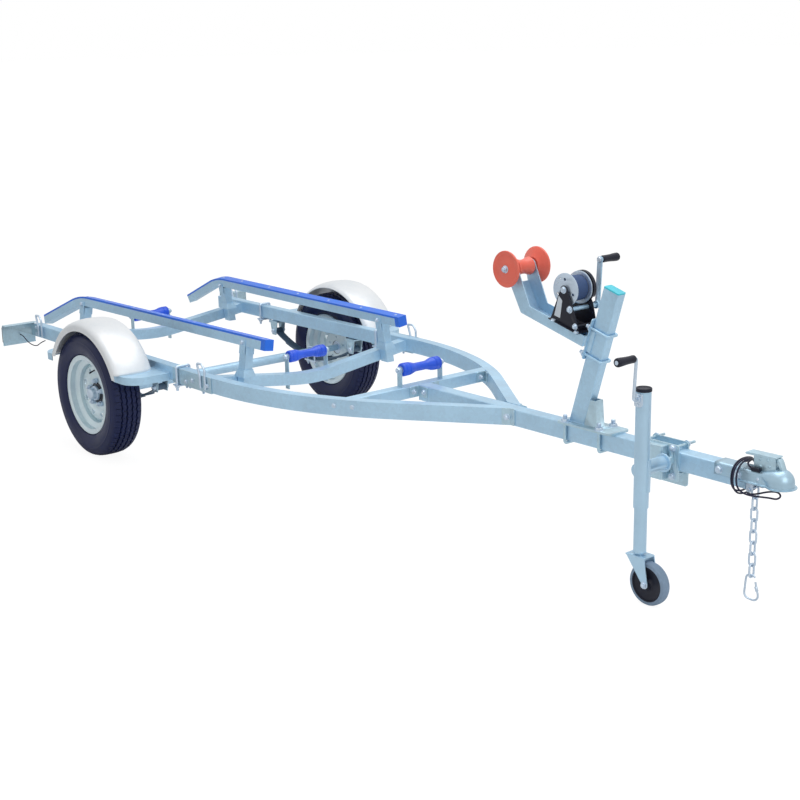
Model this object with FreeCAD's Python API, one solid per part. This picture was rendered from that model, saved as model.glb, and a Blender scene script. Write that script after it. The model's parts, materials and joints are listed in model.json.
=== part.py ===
import FreeCAD, Part
import math
import os

# Boat trailer, single axle, with a bent tubular frame and a central drawbar.
# Millimetres. While the pieces are made, X runs forward from the axle to the coupler,
# Y to the trailer's left and Z up from the ground. At the end everything moves back along X
# so that the origin lies under the middle of the trailer's box.

V = FreeCAD.Vector

# ---------------------------------------------------------------- driving dimensions
# wheels and axle
TYRE_R = 287.5
TYRE_W = 154.0
TRACK = 1376.0            # between the tyres' middle planes
RIM_FLANGE_R = 182.5
RIM_SEAT_R = 166.0
RIM_W = 124.0
DISC_Y = 4.0              # wheel disc, outboard of the tyre's middle plane
DISC_T = 5.0
VENT_COUNT = 8
HUB_R = 34.0
HUB_FLANGE_R = 72.0
LUG_COUNT = 5
LUG_CIRCLE_R = 57.0
STUD_R = 6.5
AXLE_R = 22.5
SPINDLE_R = 15.0
BEARING_GAP = 0.4

# frame tubes
RAIL_TOP = 472.0
RAIL_H = 65.0
RAIL_W = 45.0
TYRE_RAIL_GAP = 37.0
RAIL_WALL = 3.5
RAIL_REAR_X = -870.0
RAIL_JOINT_X = 790.0
RAIL_BEND_R = 1450.0      # outer edge of the curved front part
RAIL_BEND_DEG = 35.5
DRAWBAR_W = 60.0
DRAWBAR_FRONT_X = 3080.0
CROSS_S = 50.0            # cross members are square tubes
CROSS_FRONT_X = 1465.0
CROSS_MIDDLE_X = 720.0
CROSS_REAR_X = -660.0
CROSS_DROP = 63.0         # how far the middle of a bowed cross member hangs below its ends
CROSS_BOW_R = 900.0
CROSS_END_TOP = 460.0

# bunks
BUNK_FRONT_X = 927.0
BUNK_BEND_X = -650.0
BUNK_TAIL_X = -1005.0
BUNK_TAIL_DROP = 145.0
BUNK_BEND_R = 420.0
BUNK_W = 45.0
BUNK_H = 38.0
BUNK_STRIP_T = 9.0
BUNK_FRONT_Y = 361.0
BUNK_TOE_DEG = 1.5
BUNK_ROLL_DEG = 8.3
BUNK_TOP = 627.0
BUNK_CAP_L = 30.0
BUNK_WALL = 3.0

# bunk posts
POST_S = (50.0, 40.0)
POST_BOTTOM = 385.0
REAR_POST_LOWER = 7.0     # the bunk already bends down over the rear posts

# keel rollers
ROLLER_L = 200.0
ROLLER_END_R = 27.5
ROLLER_WAIST_R = 18.0
ROLLER_PIN_R = 8.0
ROLLER_PIN_GAP = 0.4
ROLLER_SIDE_GAP = 5.0
BRACKET_W = 26.0
BRACKET_T = 5.0

# springs
SPRING_EYE_X = 330.0
SPRING_EYE_Z = 350.0
SPRING_W = 44.0
SPRING_T = 15.0
EYE_R = 15.0
HANGER_T = 4.0

# fenders
FENDER_X = 56.0
FENDER_Z = 290.0
FENDER_CREST_R = 353.0
FENDER_LIP_R = 329.0
FENDER_LIP_H = 26.0
FENDER_T = 3.0
FENDER_SIDE_GAP = 25.0    # fender's outer face, outboard of the tyre
FENDER_FOOT_Z = 440.0
FENDER_LIP_END_Z = 418.0

# fender trays
TRAY_T = 4.0
TRAY_H = 34.0
TRAY_CORNER_R = 80.0
TRAY_FRONT_X0, TRAY_FRONT_X1 = 310.0, 462.0
TRAY_REAR_X0, TRAY_REAR_X1 = -262.0, -382.0

# winch post
POST_X = 2342.0           # middle of the post at the top of its base plate
POST_LEAN_DEG = 17.0
POST_DEPTH = 70.0
POST_WIDTH = 40.0
POST_LENGTH = 515.0
POST_WALL = 3.0
BASE_T = 8.0
BASE_X0, BASE_X1 = 2272.0, 2532.0
BASE_W = 104.0
GUSSET_H = 95.0
U_BOLT_R = 6.0
U_BOLT_GAP = 1.2          # between a U-bolt's rod and the tube's side

# winch arm
ARM_W = 96.0
ARM_H = 39.0
ARM_T = 4.0
ARM_REAR_X = 2089.0
ARM_REAR_Z = 850.0
ARM_SLOPE_DEG = 15.0
HORN_LEAN_DEG = 29.0
HORN_W = 52.0
BOW_X = 2045.0
BOW_Z = 1008.0
BELL_R = 67.0
BELL_W = 30.0
SPOOL_R = 33.0
SPOOL_WAIST_R = 26.0
ARM_HEAD_R = 26.0
SADDLE_T = 4.0
BOW_BOLT_R = 7.0

# winch
DRUM_X = 2306.0
DRUM_Z = 960.0
DRUM_FLANGE_R = 59.0
STRAP_R = 46.0
DRUM_Y0, DRUM_Y1 = -45.0, 30.0
CRANK_X = 2336.0
CRANK_Z = 894.0
CRANK_ARM_L = 162.0
CRANK_TILT_DEG = 3.0
CRANK_Y = 92.0
GRIP_L = 84.0
GRIP_R = 15.0

# jack
JACK_X = 2814.0
JACK_Y = -219.0
JACK_R = 25.0
JACK_WALL = 3.0
JACK_TOP = 716.0
JACK_BOTTOM = 325.0
LEG_R = 21.5
LEG_BOTTOM = 170.0
PIVOT_X = 2784.0
PIVOT_Z = 440.0
PIVOT_PIN_R = 14.0
PIVOT_TUBE_R = 24.0
MOUNT_X0, MOUNT_X1 = 2690.0, 2816.0
JOCKEY_R = 74.0
JOCKEY_W = 36.0
JOCKEY_TRAIL = 45.0
JACK_CRANK_Z = 694.0
JACK_CRANK_L = 138.0

# coupler
BALL_X = 3190.0
BALL_R = 25.0
BALL_Z = 438.0
DOME_R = 44.0
DOME_Z = 450.0
COUPLER_REAR_X = 2960.0
COUPLER_NECK_X = 3140.0   # the straight shell begins to swell into the dome
COUPLER_BOTTOM = 434.0
COUPLER_T = 4.0
COUPLER_FLANGE = 8.0

# chain
CHAIN_X = 3098.0
CHAIN_PIN_Z = 412.0
CHAIN_PIN_R = 4.0
LINK_L = 53.0
LINK_W = 31.0
LINK_ROD_R = 3.6
LINK_COUNT = 8
LINK_SLACK = 0.3
HOOK_H = 84.0

# tail lamps
LAMP_X = -900.0
LAMP_W = 148.0
LAMP_Z0, LAMP_Z1 = 374.0, 480.0
LAMP_T = 34.0
TIE_FRONT_X = 734.0
TIE_REAR_X = -790.0

# cords
CABLE_D = 6.0
WIRE_D = 5.0

# ---------------------------------------------------------------- worked-out places
RAIL_OUTER_Y = TRACK / 2 - TYRE_W / 2 - TYRE_RAIL_GAP
RAIL_BOTTOM = RAIL_TOP - RAIL_H
RAIL_INNER_Y = RAIL_OUTER_Y - RAIL_W
WHEEL_Y = TRACK / 2
AXLE_Z = TYRE_R
NOSE_X = BALL_X + DOME_R + COUPLER_FLANGE
MIDDLE_X = (NOSE_X + BUNK_TAIL_X) / 2
SPRING_Y = RAIL_OUTER_Y - RAIL_W / 2
FENDER_INNER_Y = RAIL_OUTER_Y + 26
FENDER_OUTER_Y = TRACK / 2 + TYRE_W / 2 + FENDER_SIDE_GAP
TRAY_OUTER_Y = TRACK / 2 + TYRE_W / 2 + 6
LAMP_Y0 = RAIL_OUTER_Y + 11
LAMP_Y1 = LAMP_Y0 + LAMP_W


# ---------------------------------------------------------------- helpers
def box(x0, x1, y0, y1, z0, z1):
    return Part.makeBox(x1 - x0, y1 - y0, z1 - z0, V(x0, y0, z0))


def cyl(start, direction, radius, length):
    return Part.makeCylinder(radius, length, V(*start), V(*direction))


def rod_y(x, z, y0, y1, radius):
    return cyl((x, y0, z), (0, 1, 0), radius, y1 - y0)


def fuse(*shapes):
    joined = shapes[0]
    for shape in shapes[1:]:
        joined = joined.fuse(shape)
    return joined.removeSplitter()


def group(*shapes):
    return Part.makeCompound(list(shapes))


def mirrored(shape):
    return shape.mirror(V(0, 0, 0), V(0, 1, 0))


def both(*shapes):
    """Left-hand pieces and their mirrored right-hand twins, as one node."""
    return group(*shapes, *[mirrored(shape) for shape in shapes])


def prism_xz(points, y0, y1):
    """A flat outline in X and Z, carried from y0 to y1."""
    wire = Part.makePolygon([V(x, y0, z) for x, z in points] + [V(points[0][0], y0, points[0][1])])
    return Part.Face(wire).extrude(V(0, y1 - y0, 0))


def prism_edges(edges, direction):
    return Part.Face(Part.Wire(edges)).extrude(direction)


def rod(points, radius, bend):
    """A round bar along straight runs joined by tangent arcs. bend is one radius, or one for each corner."""
    pts = [V(*p) for p in points]
    bends = bend if isinstance(bend, list) else [bend] * (len(pts) - 2)
    edges = []
    start = pts[0]
    for before, corner, after, r in zip(pts, pts[1:], pts[2:], bends):
        a = (before - corner).normalize()
        b = (after - corner).normalize()
        half_turn = (math.pi - a.getAngle(b)) / 2
        reach = r * math.tan(half_turn)
        p, q = corner + a * reach, corner + b * reach
        centre = corner + (a + b).normalize() * (r / math.cos(half_turn))
        middle = centre + (corner - centre).normalize() * r
        if (p - start).Length > 1e-6:
            edges.append(Part.LineSegment(start, p).toShape())
        edges.append(Part.Arc(p, middle, q).toShape())
        start = q
    edges.append(Part.LineSegment(start, pts[-1]).toShape())
    path = Part.Wire(edges)
    ring = Part.Wire([Part.Circle(pts[0], pts[1] - pts[0], radius).toShape()])
    return path.makePipeShell([ring], True, False)


def cord(name, points, diameter):
    """A limp cord: each corner's arc takes 0.45 of its shorter run."""
    pts = [V(*p) for p in points]
    bends = []
    for before, corner, after in zip(pts, pts[1:], pts[2:]):
        a, b = before - corner, after - corner
        half_turn = (math.pi - a.getAngle(b)) / 2
        bends.append(0.45 * min(a.Length, b.Length) / math.tan(half_turn))
    runs = sum((q - p).Length for p, q in zip(pts, pts[1:]))
    print(name, "runs", round(runs), "smallest arc", round(min(bends), 1), "of at least", 3 * diameter)
    return rod(points, diameter / 2, bends)


def rounded(shape, radius, axis):
    """The shape with its straight edges along the axis rounded."""
    chosen = []
    for edge in shape.Edges:
        if isinstance(edge.Curve, Part.Line) and abs(abs(edge.Curve.Direction.dot(V(*axis))) - 1) < 1e-6:
            chosen.append(edge)
    return shape.makeFillet(radius, chosen)


def turned(profile, centre):
    """Revolves an outline of (y, r) points round the Y axis through centre."""
    cx, cy, cz = centre
    wire = Part.makePolygon([V(cx, cy + y, cz + r) for y, r in profile + [profile[0]]])
    return Part.Face(wire).revolve(V(cx, cy, cz), V(0, 1, 0), 360)


def ring_y(x, z, y0, y1, outer, inner):
    return rod_y(x, z, y0, y1, outer).cut(rod_y(x, z, y0 - 1, y1 + 1, inner))


# ---------------------------------------------------------------- frame tubes
def rail_outline(inset, z):
    """The left curved rail's outline at height z, its walls moved inwards by inset."""
    bend = math.radians(RAIL_BEND_DEG)
    y_out, y_in = RAIL_OUTER_Y - inset, RAIL_INNER_Y + inset
    r_out, r_in = RAIL_BEND_R - inset, RAIL_BEND_R - RAIL_W + inset
    side = DRAWBAR_W / 2

    def arc_end(y, r, share=1.0):
        return V(RAIL_JOINT_X + r * math.sin(bend * share), y - r * (1 - math.cos(bend * share)), z)

    def nose(end):
        return V(end.x + (end.y - side) / math.tan(bend), side, z)

    p0, p1, p2 = V(RAIL_JOINT_X, y_out, z), arc_end(y_out, r_out), None
    q0, q1 = V(RAIL_JOINT_X, y_in, z), arc_end(y_in, r_in)
    p2, q2 = nose(p1), nose(q1)
    return [
        Part.Arc(p0, arc_end(y_out, r_out, 0.5), p1).toShape(),
        Part.LineSegment(p1, p2).toShape(),
        Part.LineSegment(p2, q2).toShape(),
        Part.LineSegment(q2, q1).toShape(),
        Part.Arc(q1, arc_end(y_in, r_in, 0.5), q0).toShape(),
        Part.LineSegment(q0, p0).toShape(),
    ]


def front_rail():
    outside = prism_edges(rail_outline(0, RAIL_BOTTOM), V(0, 0, RAIL_H))
    inside = prism_edges(rail_outline(RAIL_WALL, RAIL_BOTTOM + RAIL_WALL), V(0, 0, RAIL_H - 2 * RAIL_WALL))
    return outside.cut(inside)


def rear_rail():
    outside = box(RAIL_REAR_X, RAIL_JOINT_X, RAIL_INNER_Y, RAIL_OUTER_Y, RAIL_BOTTOM, RAIL_TOP)
    inside = box(RAIL_REAR_X - 1, RAIL_JOINT_X + 1, RAIL_INNER_Y + RAIL_WALL, RAIL_OUTER_Y - RAIL_WALL,
                 RAIL_BOTTOM + RAIL_WALL, RAIL_TOP - RAIL_WALL)
    return outside.cut(inside)


def tube_x(x0, x1, y0, y1, z0, z1, wall):
    return box(x0, x1, y0, y1, z0, z1).cut(
        box(x0 - 1, x1 + 1, y0 + wall, y1 - wall, z0 + wall, z1 - wall))


def between_rails(z0, z1):
    """The space between the two curved rails, to trim the front cross member."""
    bend = math.radians(RAIL_BEND_DEG)
    r = RAIL_BEND_R - RAIL_W
    x1 = RAIL_JOINT_X + r * math.sin(bend)
    y1 = RAIL_INNER_Y - r * (1 - math.cos(bend))
    tip = x1 + y1 / math.tan(bend)
    half = RAIL_BEND_DEG / 2
    xm = RAIL_JOINT_X + r * math.sin(math.radians(half))
    ym = RAIL_INNER_Y - r * (1 - math.cos(math.radians(half)))
    edges = [
        Part.LineSegment(V(0, RAIL_INNER_Y, z0), V(RAIL_JOINT_X, RAIL_INNER_Y, z0)).toShape(),
        Part.Arc(V(RAIL_JOINT_X, RAIL_INNER_Y, z0), V(xm, ym, z0), V(x1, y1, z0)).toShape(),
        Part.LineSegment(V(x1, y1, z0), V(tip, 0, z0)).toShape(),
        Part.LineSegment(V(tip, 0, z0), V(x1, -y1, z0)).toShape(),
        Part.Arc(V(x1, -y1, z0), V(xm, -ym, z0), V(RAIL_JOINT_X, -RAIL_INNER_Y, z0)).toShape(),
        Part.LineSegment(V(RAIL_JOINT_X, -RAIL_INNER_Y, z0), V(0, -RAIL_INNER_Y, z0)).toShape(),
        Part.LineSegment(V(0, -RAIL_INNER_Y, z0), V(0, RAIL_INNER_Y, z0)).toShape(),
    ]
    return prism_edges(edges, V(0, 0, z1 - z0))


def bowed_edges(x, half_width, end_top, inset):
    """Outline, in Y and Z, of a cross member that dips in an arc at its middle."""
    rise = CROSS_DROP
    # the arms leave the middle arc at the angle that reaches the ends at end_top
    arm = math.atan2(rise, half_width)
    for _ in range(20):
        arc_y = CROSS_BOW_R * math.sin(arm)
        arc_rise = CROSS_BOW_R * (1 - math.cos(arm))
        arm = math.atan2(rise - arc_rise, half_width - arc_y)
    top0 = end_top - rise - inset
    bottom0 = end_top - rise - CROSS_S + inset

    def curve(level):
        r = CROSS_BOW_R + (end_top - rise - level)
        a_y, a_z = r * math.sin(arm), level + r * (1 - math.cos(arm))
        e_z = a_z + (half_width - a_y) * math.tan(arm)
        return r, a_y, a_z, e_z

    rt, ty, tz, te = curve(top0)
    rb, by, bz, be = curve(bottom0)
    top = [V(x, -half_width, te), V(x, -ty, tz), V(x, 0, top0), V(x, ty, tz), V(x, half_width, te)]
    bottom = [V(x, half_width, be), V(x, by, bz), V(x, 0, bottom0), V(x, -by, bz), V(x, -half_width, be)]
    return [
        Part.LineSegment(top[0], top[1]).toShape(),
        Part.Arc(top[1], top[2], top[3]).toShape(),
        Part.LineSegment(top[3], top[4]).toShape(),
        Part.LineSegment(top[4], bottom[0]).toShape(),
        Part.LineSegment(bottom[0], bottom[1]).toShape(),
        Part.Arc(bottom[1], bottom[2], bottom[3]).toShape(),
        Part.LineSegment(bottom[3], bottom[4]).toShape(),
        Part.LineSegment(bottom[4], top[0]).toShape(),
    ]


def bowed_cross(x):
    x0 = x - CROSS_S / 2
    outside = prism_edges(bowed_edges(x0, RAIL_INNER_Y, CROSS_END_TOP, 0), V(CROSS_S, 0, 0))
    inside = prism_edges(bowed_edges(x0 + RAIL_WALL, RAIL_INNER_Y, CROSS_END_TOP, RAIL_WALL),
                         V(CROSS_S - 2 * RAIL_WALL, 0, 0))
    return outside.cut(inside)


# ---------------------------------------------------------------- bunks
def bunk_path_solid(z_top, z_bottom, y_half, x_front):
    """A bar along the bunk's side view: level, then an arc, then down to the tail."""
    drop = math.atan2(BUNK_TAIL_DROP, BUNK_BEND_X - BUNK_TAIL_X)
    down = V(-math.cos(drop), 0, -math.sin(drop))
    normal = V(-math.sin(drop), 0, math.cos(drop))
    tail = V(BUNK_BEND_X, 0, 0) + down * ((BUNK_BEND_X - BUNK_TAIL_X) / math.cos(drop))

    def side(z):
        r = BUNK_BEND_R + z
        reach = r * math.tan(drop / 2)
        corner = V(BUNK_BEND_X - z * math.tan(drop / 2), 0, z)
        a = V(corner.x + reach, 0, z)
        b = corner + down * reach
        middle = V(a.x - r * math.sin(drop / 2), 0, z - r + r * math.cos(drop / 2))
        return a, middle, b, tail + normal * z

    a1, m1, b1, end1 = side(z_top)
    a2, m2, b2, end2 = side(z_bottom)
    front1, front2 = V(x_front, 0, z_top), V(x_front, 0, z_bottom)
    edges = [
        Part.LineSegment(front1, a1).toShape(),
        Part.Arc(a1, m1, b1).toShape(),
        Part.LineSegment(b1, end1).toShape(),
        Part.LineSegment(end1, end2).toShape(),
        Part.LineSegment(end2, b2).toShape(),
        Part.Arc(b2, m2, a2).toShape(),
        Part.LineSegment(a2, front2).toShape(),
        Part.LineSegment(front2, front1).toShape(),
    ]
    solid = prism_edges(edges, V(0, 2 * y_half, 0))
    solid.translate(V(0, -y_half, 0))
    return solid


def place_bunk(shape):
    """From the bunk's own frame (top middle at z 0) to the left side of the trailer."""
    shape = shape.copy()
    shape.rotate(V(0, 0, 0), V(1, 0, 0), BUNK_ROLL_DEG)
    shape.translate(V(-BUNK_FRONT_X, 0, 0))
    shape.rotate(V(0, 0, 0), V(0, 0, 1), -BUNK_TOE_DEG)
    shape.translate(V(BUNK_FRONT_X, BUNK_FRONT_Y, BUNK_TOP - BUNK_STRIP_T / 2))
    return shape


def bunk_tube():
    top, bottom = -BUNK_STRIP_T, -BUNK_STRIP_T - BUNK_H
    outer = bunk_path_solid(top, bottom, BUNK_W / 2, BUNK_FRONT_X - BUNK_CAP_L)
    hole = bunk_path_solid(top - BUNK_WALL, bottom + BUNK_WALL, BUNK_W / 2 - BUNK_WALL, BUNK_FRONT_X)
    return place_bunk(outer.cut(hole))


def bunk_strip():
    strip = bunk_path_solid(0, -BUNK_STRIP_T, BUNK_W / 2, BUNK_FRONT_X - BUNK_CAP_L)
    cap = box(BUNK_FRONT_X - BUNK_CAP_L, BUNK_FRONT_X, -BUNK_W / 2, BUNK_W / 2, -BUNK_STRIP_T - BUNK_H, 0)
    return place_bunk(fuse(strip, cap))





def bunk_post(cross_x, lower):
    """A square tube on the front face of a cross member, leaning with the bunk it carries."""
    face = cross_x + CROSS_S / 2
    x = face + POST_S[0] / 2
    hx, hy = POST_S[0] / 2, POST_S[1] / 2
    head = -BUNK_STRIP_T - BUNK_H - lower
    foot = head - (BUNK_TOP - POST_BOTTOM)
    tube = box(x - hx, x + hx, -hy, hy, foot, head).cut(
        box(x - hx + 3, x + hx - 3, -hy + 3, hy - 3, foot - 1, head + 1))
    ear_y = BUNK_W / 2
    ears = [box(x - hx + 5, x + hx - 5, y0, y0 + 3, head - 35, head + 26) for y0 in (-ear_y - 3, ear_y)]
    cap = box(x - hx + 5, x + hx - 5, -ear_y - 3, ear_y + 3, head - 3, head)
    post = place_bunk(fuse(tube, cap, *ears))
    return post.common(box(face, face + 2 * POST_S[0], 0, RAIL_OUTER_Y, POST_BOTTOM, 2 * RAIL_TOP))


# ---------------------------------------------------------------- small frame pieces
def splice_plate():
    plate = box(RAIL_JOINT_X - 300, RAIL_JOINT_X + 6, RAIL_OUTER_Y, RAIL_OUTER_Y + 4, RAIL_BOTTOM - 4, RAIL_TOP)
    shelf = box(RAIL_JOINT_X - 300, RAIL_JOINT_X + 6, RAIL_INNER_Y, RAIL_OUTER_Y + 4, RAIL_BOTTOM - 4, RAIL_BOTTOM)
    return fuse(plate, shelf)


def tie_loop(x):
    y = RAIL_OUTER_Y + 9
    return rod([(x - 12, y, RAIL_TOP - 55), (x - 12, y, RAIL_TOP - 6), (x - 32, y, RAIL_TOP + 50),
                (x + 6, y, RAIL_TOP + 52), (x + 26, y, RAIL_TOP + 28), (x + 26, y, RAIL_TOP - 55)], 5, 9)


def roller_bracket(x, z, drop_z):
    """Two flat bars that hold a keel roller's pin, and the pin."""
    y0 = ROLLER_L / 2 + ROLLER_SIDE_GAP
    bars = []
    for side in (-1, 1):
        ya, yb = sorted((side * y0, side * (y0 + BRACKET_T)))
        bars.append(box(x - BRACKET_W / 2, x + BRACKET_W / 2, ya, yb, drop_z, z))
        bars.append(rod_y(x, z, ya, yb, BRACKET_W / 2))
    pin = rod_y(x, z, -y0 - BRACKET_T - 6, y0 + BRACKET_T + 6, ROLLER_PIN_R)
    return fuse(pin, *bars)


def keel_roller(x, z):
    half = ROLLER_L / 2
    profile = [(-half, ROLLER_END_R - 3), (-half + 4, ROLLER_END_R), (-half + 45, ROLLER_END_R - 2),
               (-half + 75, ROLLER_WAIST_R), (half - 75, ROLLER_WAIST_R), (half - 45, ROLLER_END_R - 2),
               (half - 4, ROLLER_END_R), (half, ROLLER_END_R - 3),
               (half, ROLLER_PIN_R + ROLLER_PIN_GAP), (-half, ROLLER_PIN_R + ROLLER_PIN_GAP)]
    return turned(profile, (x, 0, z))


# ---------------------------------------------------------------- axle, springs, wheels
def axle():
    beam = rod_y(0, AXLE_Z, -WHEEL_Y + 82, WHEEL_Y - 82, AXLE_R)
    spindle = rod_y(0, AXLE_Z, -WHEEL_Y - 12, WHEEL_Y + 12, SPINDLE_R)
    return fuse(beam, spindle)


def leaf_spring():
    seat = AXLE_Z - AXLE_R
    def arc(top):
        z_mid = seat - top
        dip = SPRING_EYE_Z - seat + SPRING_T / 2
        r = (SPRING_EYE_X ** 2 + dip ** 2) / (2 * dip)
        r = r - SPRING_T / 2 + top
        a = math.asin(SPRING_EYE_X / (r + SPRING_T))
        end = V(r * math.sin(a), 0, z_mid + r * (1 - math.cos(a)))
        return V(-end.x, 0, end.z), V(0, 0, z_mid), end
    t0, t1, t2 = arc(0)
    b0, b1, b2 = arc(SPRING_T)
    y0 = SPRING_Y - SPRING_W / 2
    edges = [Part.Arc(t0, t1, t2).toShape(), Part.LineSegment(t2, b2).toShape(),
             Part.Arc(b2, b1, b0).toShape(), Part.LineSegment(b0, t0).toShape()]
    leaf = prism_edges(edges, V(0, SPRING_W, 0))
    leaf.translate(V(0, y0, 0))
    eyes = [rod_y(s * SPRING_EYE_X, SPRING_EYE_Z, y0, y0 + SPRING_W, EYE_R) for s in (-1, 1)]
    return fuse(leaf, *eyes)


def axle_clamp():
    """The plate under the spring and the two U-bolts that pull it up to the axle."""
    seat = AXLE_Z - AXLE_R - SPRING_T
    plate = box(-45, 45, SPRING_Y - 40, SPRING_Y + 40, seat - 8, seat)
    bolts = []
    for y in (SPRING_Y - SPRING_W / 2 - 6, SPRING_Y + SPRING_W / 2 + 6):
        x = AXLE_R + 5
        top = AXLE_Z + AXLE_R + 5
        bolts.append(rod([(-x, y, seat - 18), (-x, y, top), (x, y, top), (x, y, seat - 18)], 5, 20))
    return fuse(plate, *bolts)


def hanger(x):
    """A box hanger under the rail with the spring eye's bolt."""
    y0, y1 = SPRING_Y - SPRING_W / 2 - 1, SPRING_Y + SPRING_W / 2 + 1
    top = box(x - 32, x + 32, y0 - HANGER_T, y1 + HANGER_T, RAIL_BOTTOM - 4 - 6, RAIL_BOTTOM - 4)
    cheeks = []
    for ya, yb in ((y0 - HANGER_T, y0), (y1, y1 + HANGER_T)):
        cheek = prism_xz([(x - 32, RAIL_BOTTOM - 4), (x + 32, RAIL_BOTTOM - 4),
                          (x + 17, SPRING_EYE_Z - 20), (x - 17, SPRING_EYE_Z - 20)], ya, yb)
        cheeks.append(cheek)
    heads = [rod_y(x, SPRING_EYE_Z, y0 - HANGER_T - 8, y0 - HANGER_T, 10),
             rod_y(x, SPRING_EYE_Z, y1 + HANGER_T, y1 + HANGER_T + 8, 10)]
    return fuse(top, *cheeks, *heads)


def tyre():
    """One closed ring: bead, bulging side, shoulder and crown."""
    half = TYRE_W / 2
    bead = RIM_W / 2
    r_in = RIM_SEAT_R + 1
    side = [(10, r_in), (6, RIM_FLANGE_R + 1.5), (-3, RIM_FLANGE_R + 6)]
    left = [(-bead + inset, r) for inset, r in side]
    left += [(-half + 4, TYRE_R - 72), (-half, TYRE_R - 49), (-half + 6, TYRE_R - 25), (-half + 20, TYRE_R - 8),
             (-half + 34, TYRE_R - 2), (-20, TYRE_R)]
    right = [(-y, r) for y, r in reversed(left)]
    inner = [(bead - 18, r_in + 4), (-bead + 18, r_in + 4)]
    return turned(left + right + inner, (0, WHEEL_Y, AXLE_Z))


def rim():
    """Barrel and disc in one outline, then the vents and the stud holes."""
    half = RIM_W / 2
    seat = RIM_SEAT_R
    well = seat - 24
    d = DISC_Y
    outer = [(-half, RIM_FLANGE_R), (-half + 5, RIM_FLANGE_R), (-half + 9, seat), (-half + 26, seat - 1),
             (-half + 36, well), (half - 36, well), (half - 26, seat - 1), (half - 9, seat),
             (half - 5, RIM_FLANGE_R), (half, RIM_FLANGE_R)]
    front = [(half, RIM_FLANGE_R - 6), (half - 4, seat - 5), (half - 28, seat - 6), (half - 39, well - 5), (d - 4, well - 5),
             (d + 9, well - 20), (d + 9, well - 42), (d, well - 57), (d, HUB_R + 1)]
    back = [(d - DISC_T, HUB_R + 1), (d - DISC_T, well - 55), (d + 4, well - 41), (d + 4, well - 21), (d - 9, well - 5),
            (-half + 39, well - 5), (-half + 28, seat - 6), (-half + 4, seat - 5), (-half, RIM_FLANGE_R - 6)]
    whole = turned(outer + front + back, (0, WHEEL_Y, AXLE_Z))
    # the turned faces' seam goes between the vents and the stud holes
    whole.rotate(V(0, WHEEL_Y, AXLE_Z), V(0, 1, 0), 44)
    cuts = []
    for k in range(VENT_COUNT):
        wedge = prism_xz([(-15, well - 46), (15, well - 46), (4, well - 24), (-4, well - 24)], WHEEL_Y - 20, WHEEL_Y + half)
        wedge.rotate(V(0, 0, 0), V(0, 1, 0), 360 * (k + 0.5) / VENT_COUNT)
        wedge.translate(V(0, 0, AXLE_Z))
        cuts.append(wedge)
    for x, z in lug_places():
        cuts.append(rod_y(x, z, WHEEL_Y - 20, WHEEL_Y + half, STUD_R))
    return whole.cut(group(*cuts))


def lug_places():
    turns = [2 * math.pi * k / LUG_COUNT for k in range(LUG_COUNT)]
    return [(LUG_CIRCLE_R * math.sin(a), AXLE_Z + LUG_CIRCLE_R * math.cos(a)) for a in turns]


def hub():
    """Barrel, flange behind the wheel disc, dust cap, and the studs with their nuts."""
    face = DISC_Y - DISC_T
    bore = SPINDLE_R + BEARING_GAP
    barrel = turned([(-58, bore), (-58, HUB_R - 2), (face - 12, HUB_R - 2), (face - 12, HUB_FLANGE_R),
                     (face, HUB_FLANGE_R), (face, HUB_R), (face + 24, HUB_R), (face + 24, HUB_R - 7),
                     (face + 46, HUB_R - 9), (face + 52, HUB_R - 18), (face + 52, 0), (20, 0), (20, bore)],
                    (0, WHEEL_Y, AXLE_Z))
    lugs = []
    for x, z in lug_places():
        lugs.append(Part.makeCone(11, 8, 20, V(x, WHEEL_Y + DISC_Y, z), V(0, 1, 0)))
        lugs.append(rod_y(x, z, WHEEL_Y + face - 3, WHEEL_Y + DISC_Y + 1, STUD_R))
    return fuse(barrel, *lugs)


# ---------------------------------------------------------------- fenders and lamps
def fender():
    """A bulging cross-section with a lip band at its outer edge, turned round the wheel and cut off on the trays."""
    t = FENDER_T
    y0, y1 = FENDER_INNER_Y, FENDER_OUTER_Y
    crest, lip = FENDER_CREST_R, FENDER_LIP_R
    width = y1 - y0
    # share of the width, drop from the crest
    bulge = [(0.0, 27), (0.08, 12), (0.25, 3), (0.5, 0), (0.74, 3), (0.92, 12), (1.0, crest - lip)]

    def curve(inset):
        points = []
        for share, drop in bulge:
            y = min(y0 + share * width, y1 - inset)
            points.append(V(FENDER_X, y, FENDER_Z + crest - drop - inset))
        line = Part.BSplineCurve()
        line.interpolate(points)
        return line.toShape(), points[0], points[-1]

    over, over_a, over_b = curve(0)
    under, under_a, under_b = curve(t)
    down = V(0, 0, -FENDER_LIP_H)
    edges = [over, Part.LineSegment(over_b, over_b + down).toShape(),
             Part.LineSegment(over_b + down, over_b + down + V(0, -t, 0)).toShape(),
             Part.LineSegment(over_b + down + V(0, -t, 0), under_b).toShape(),
             under, Part.LineSegment(under_a, over_a).toShape()]
    section = Part.Face(Part.Wire(Part.__sortEdges__(edges)))
    section.rotate(V(FENDER_X, 0, FENDER_Z), V(0, 1, 0), 75)
    arch = section.revolve(V(FENDER_X, 0, FENDER_Z), V(0, 1, 0), -150)
    reach = crest + FENDER_X
    foot = box(-reach, reach + FENDER_X, y0 - 1, y1 - t - 1, 0, FENDER_FOOT_Z)
    front_lip = box(0, reach + FENDER_X, y0 - 1, y1 + 1, 0, FENDER_LIP_END_Z)
    rear_lip = box(-reach, 0, y0 - 1, y1 + 1, 0, FENDER_FOOT_Z)
    return arch.cut(group(foot, front_lip, rear_lip))


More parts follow.
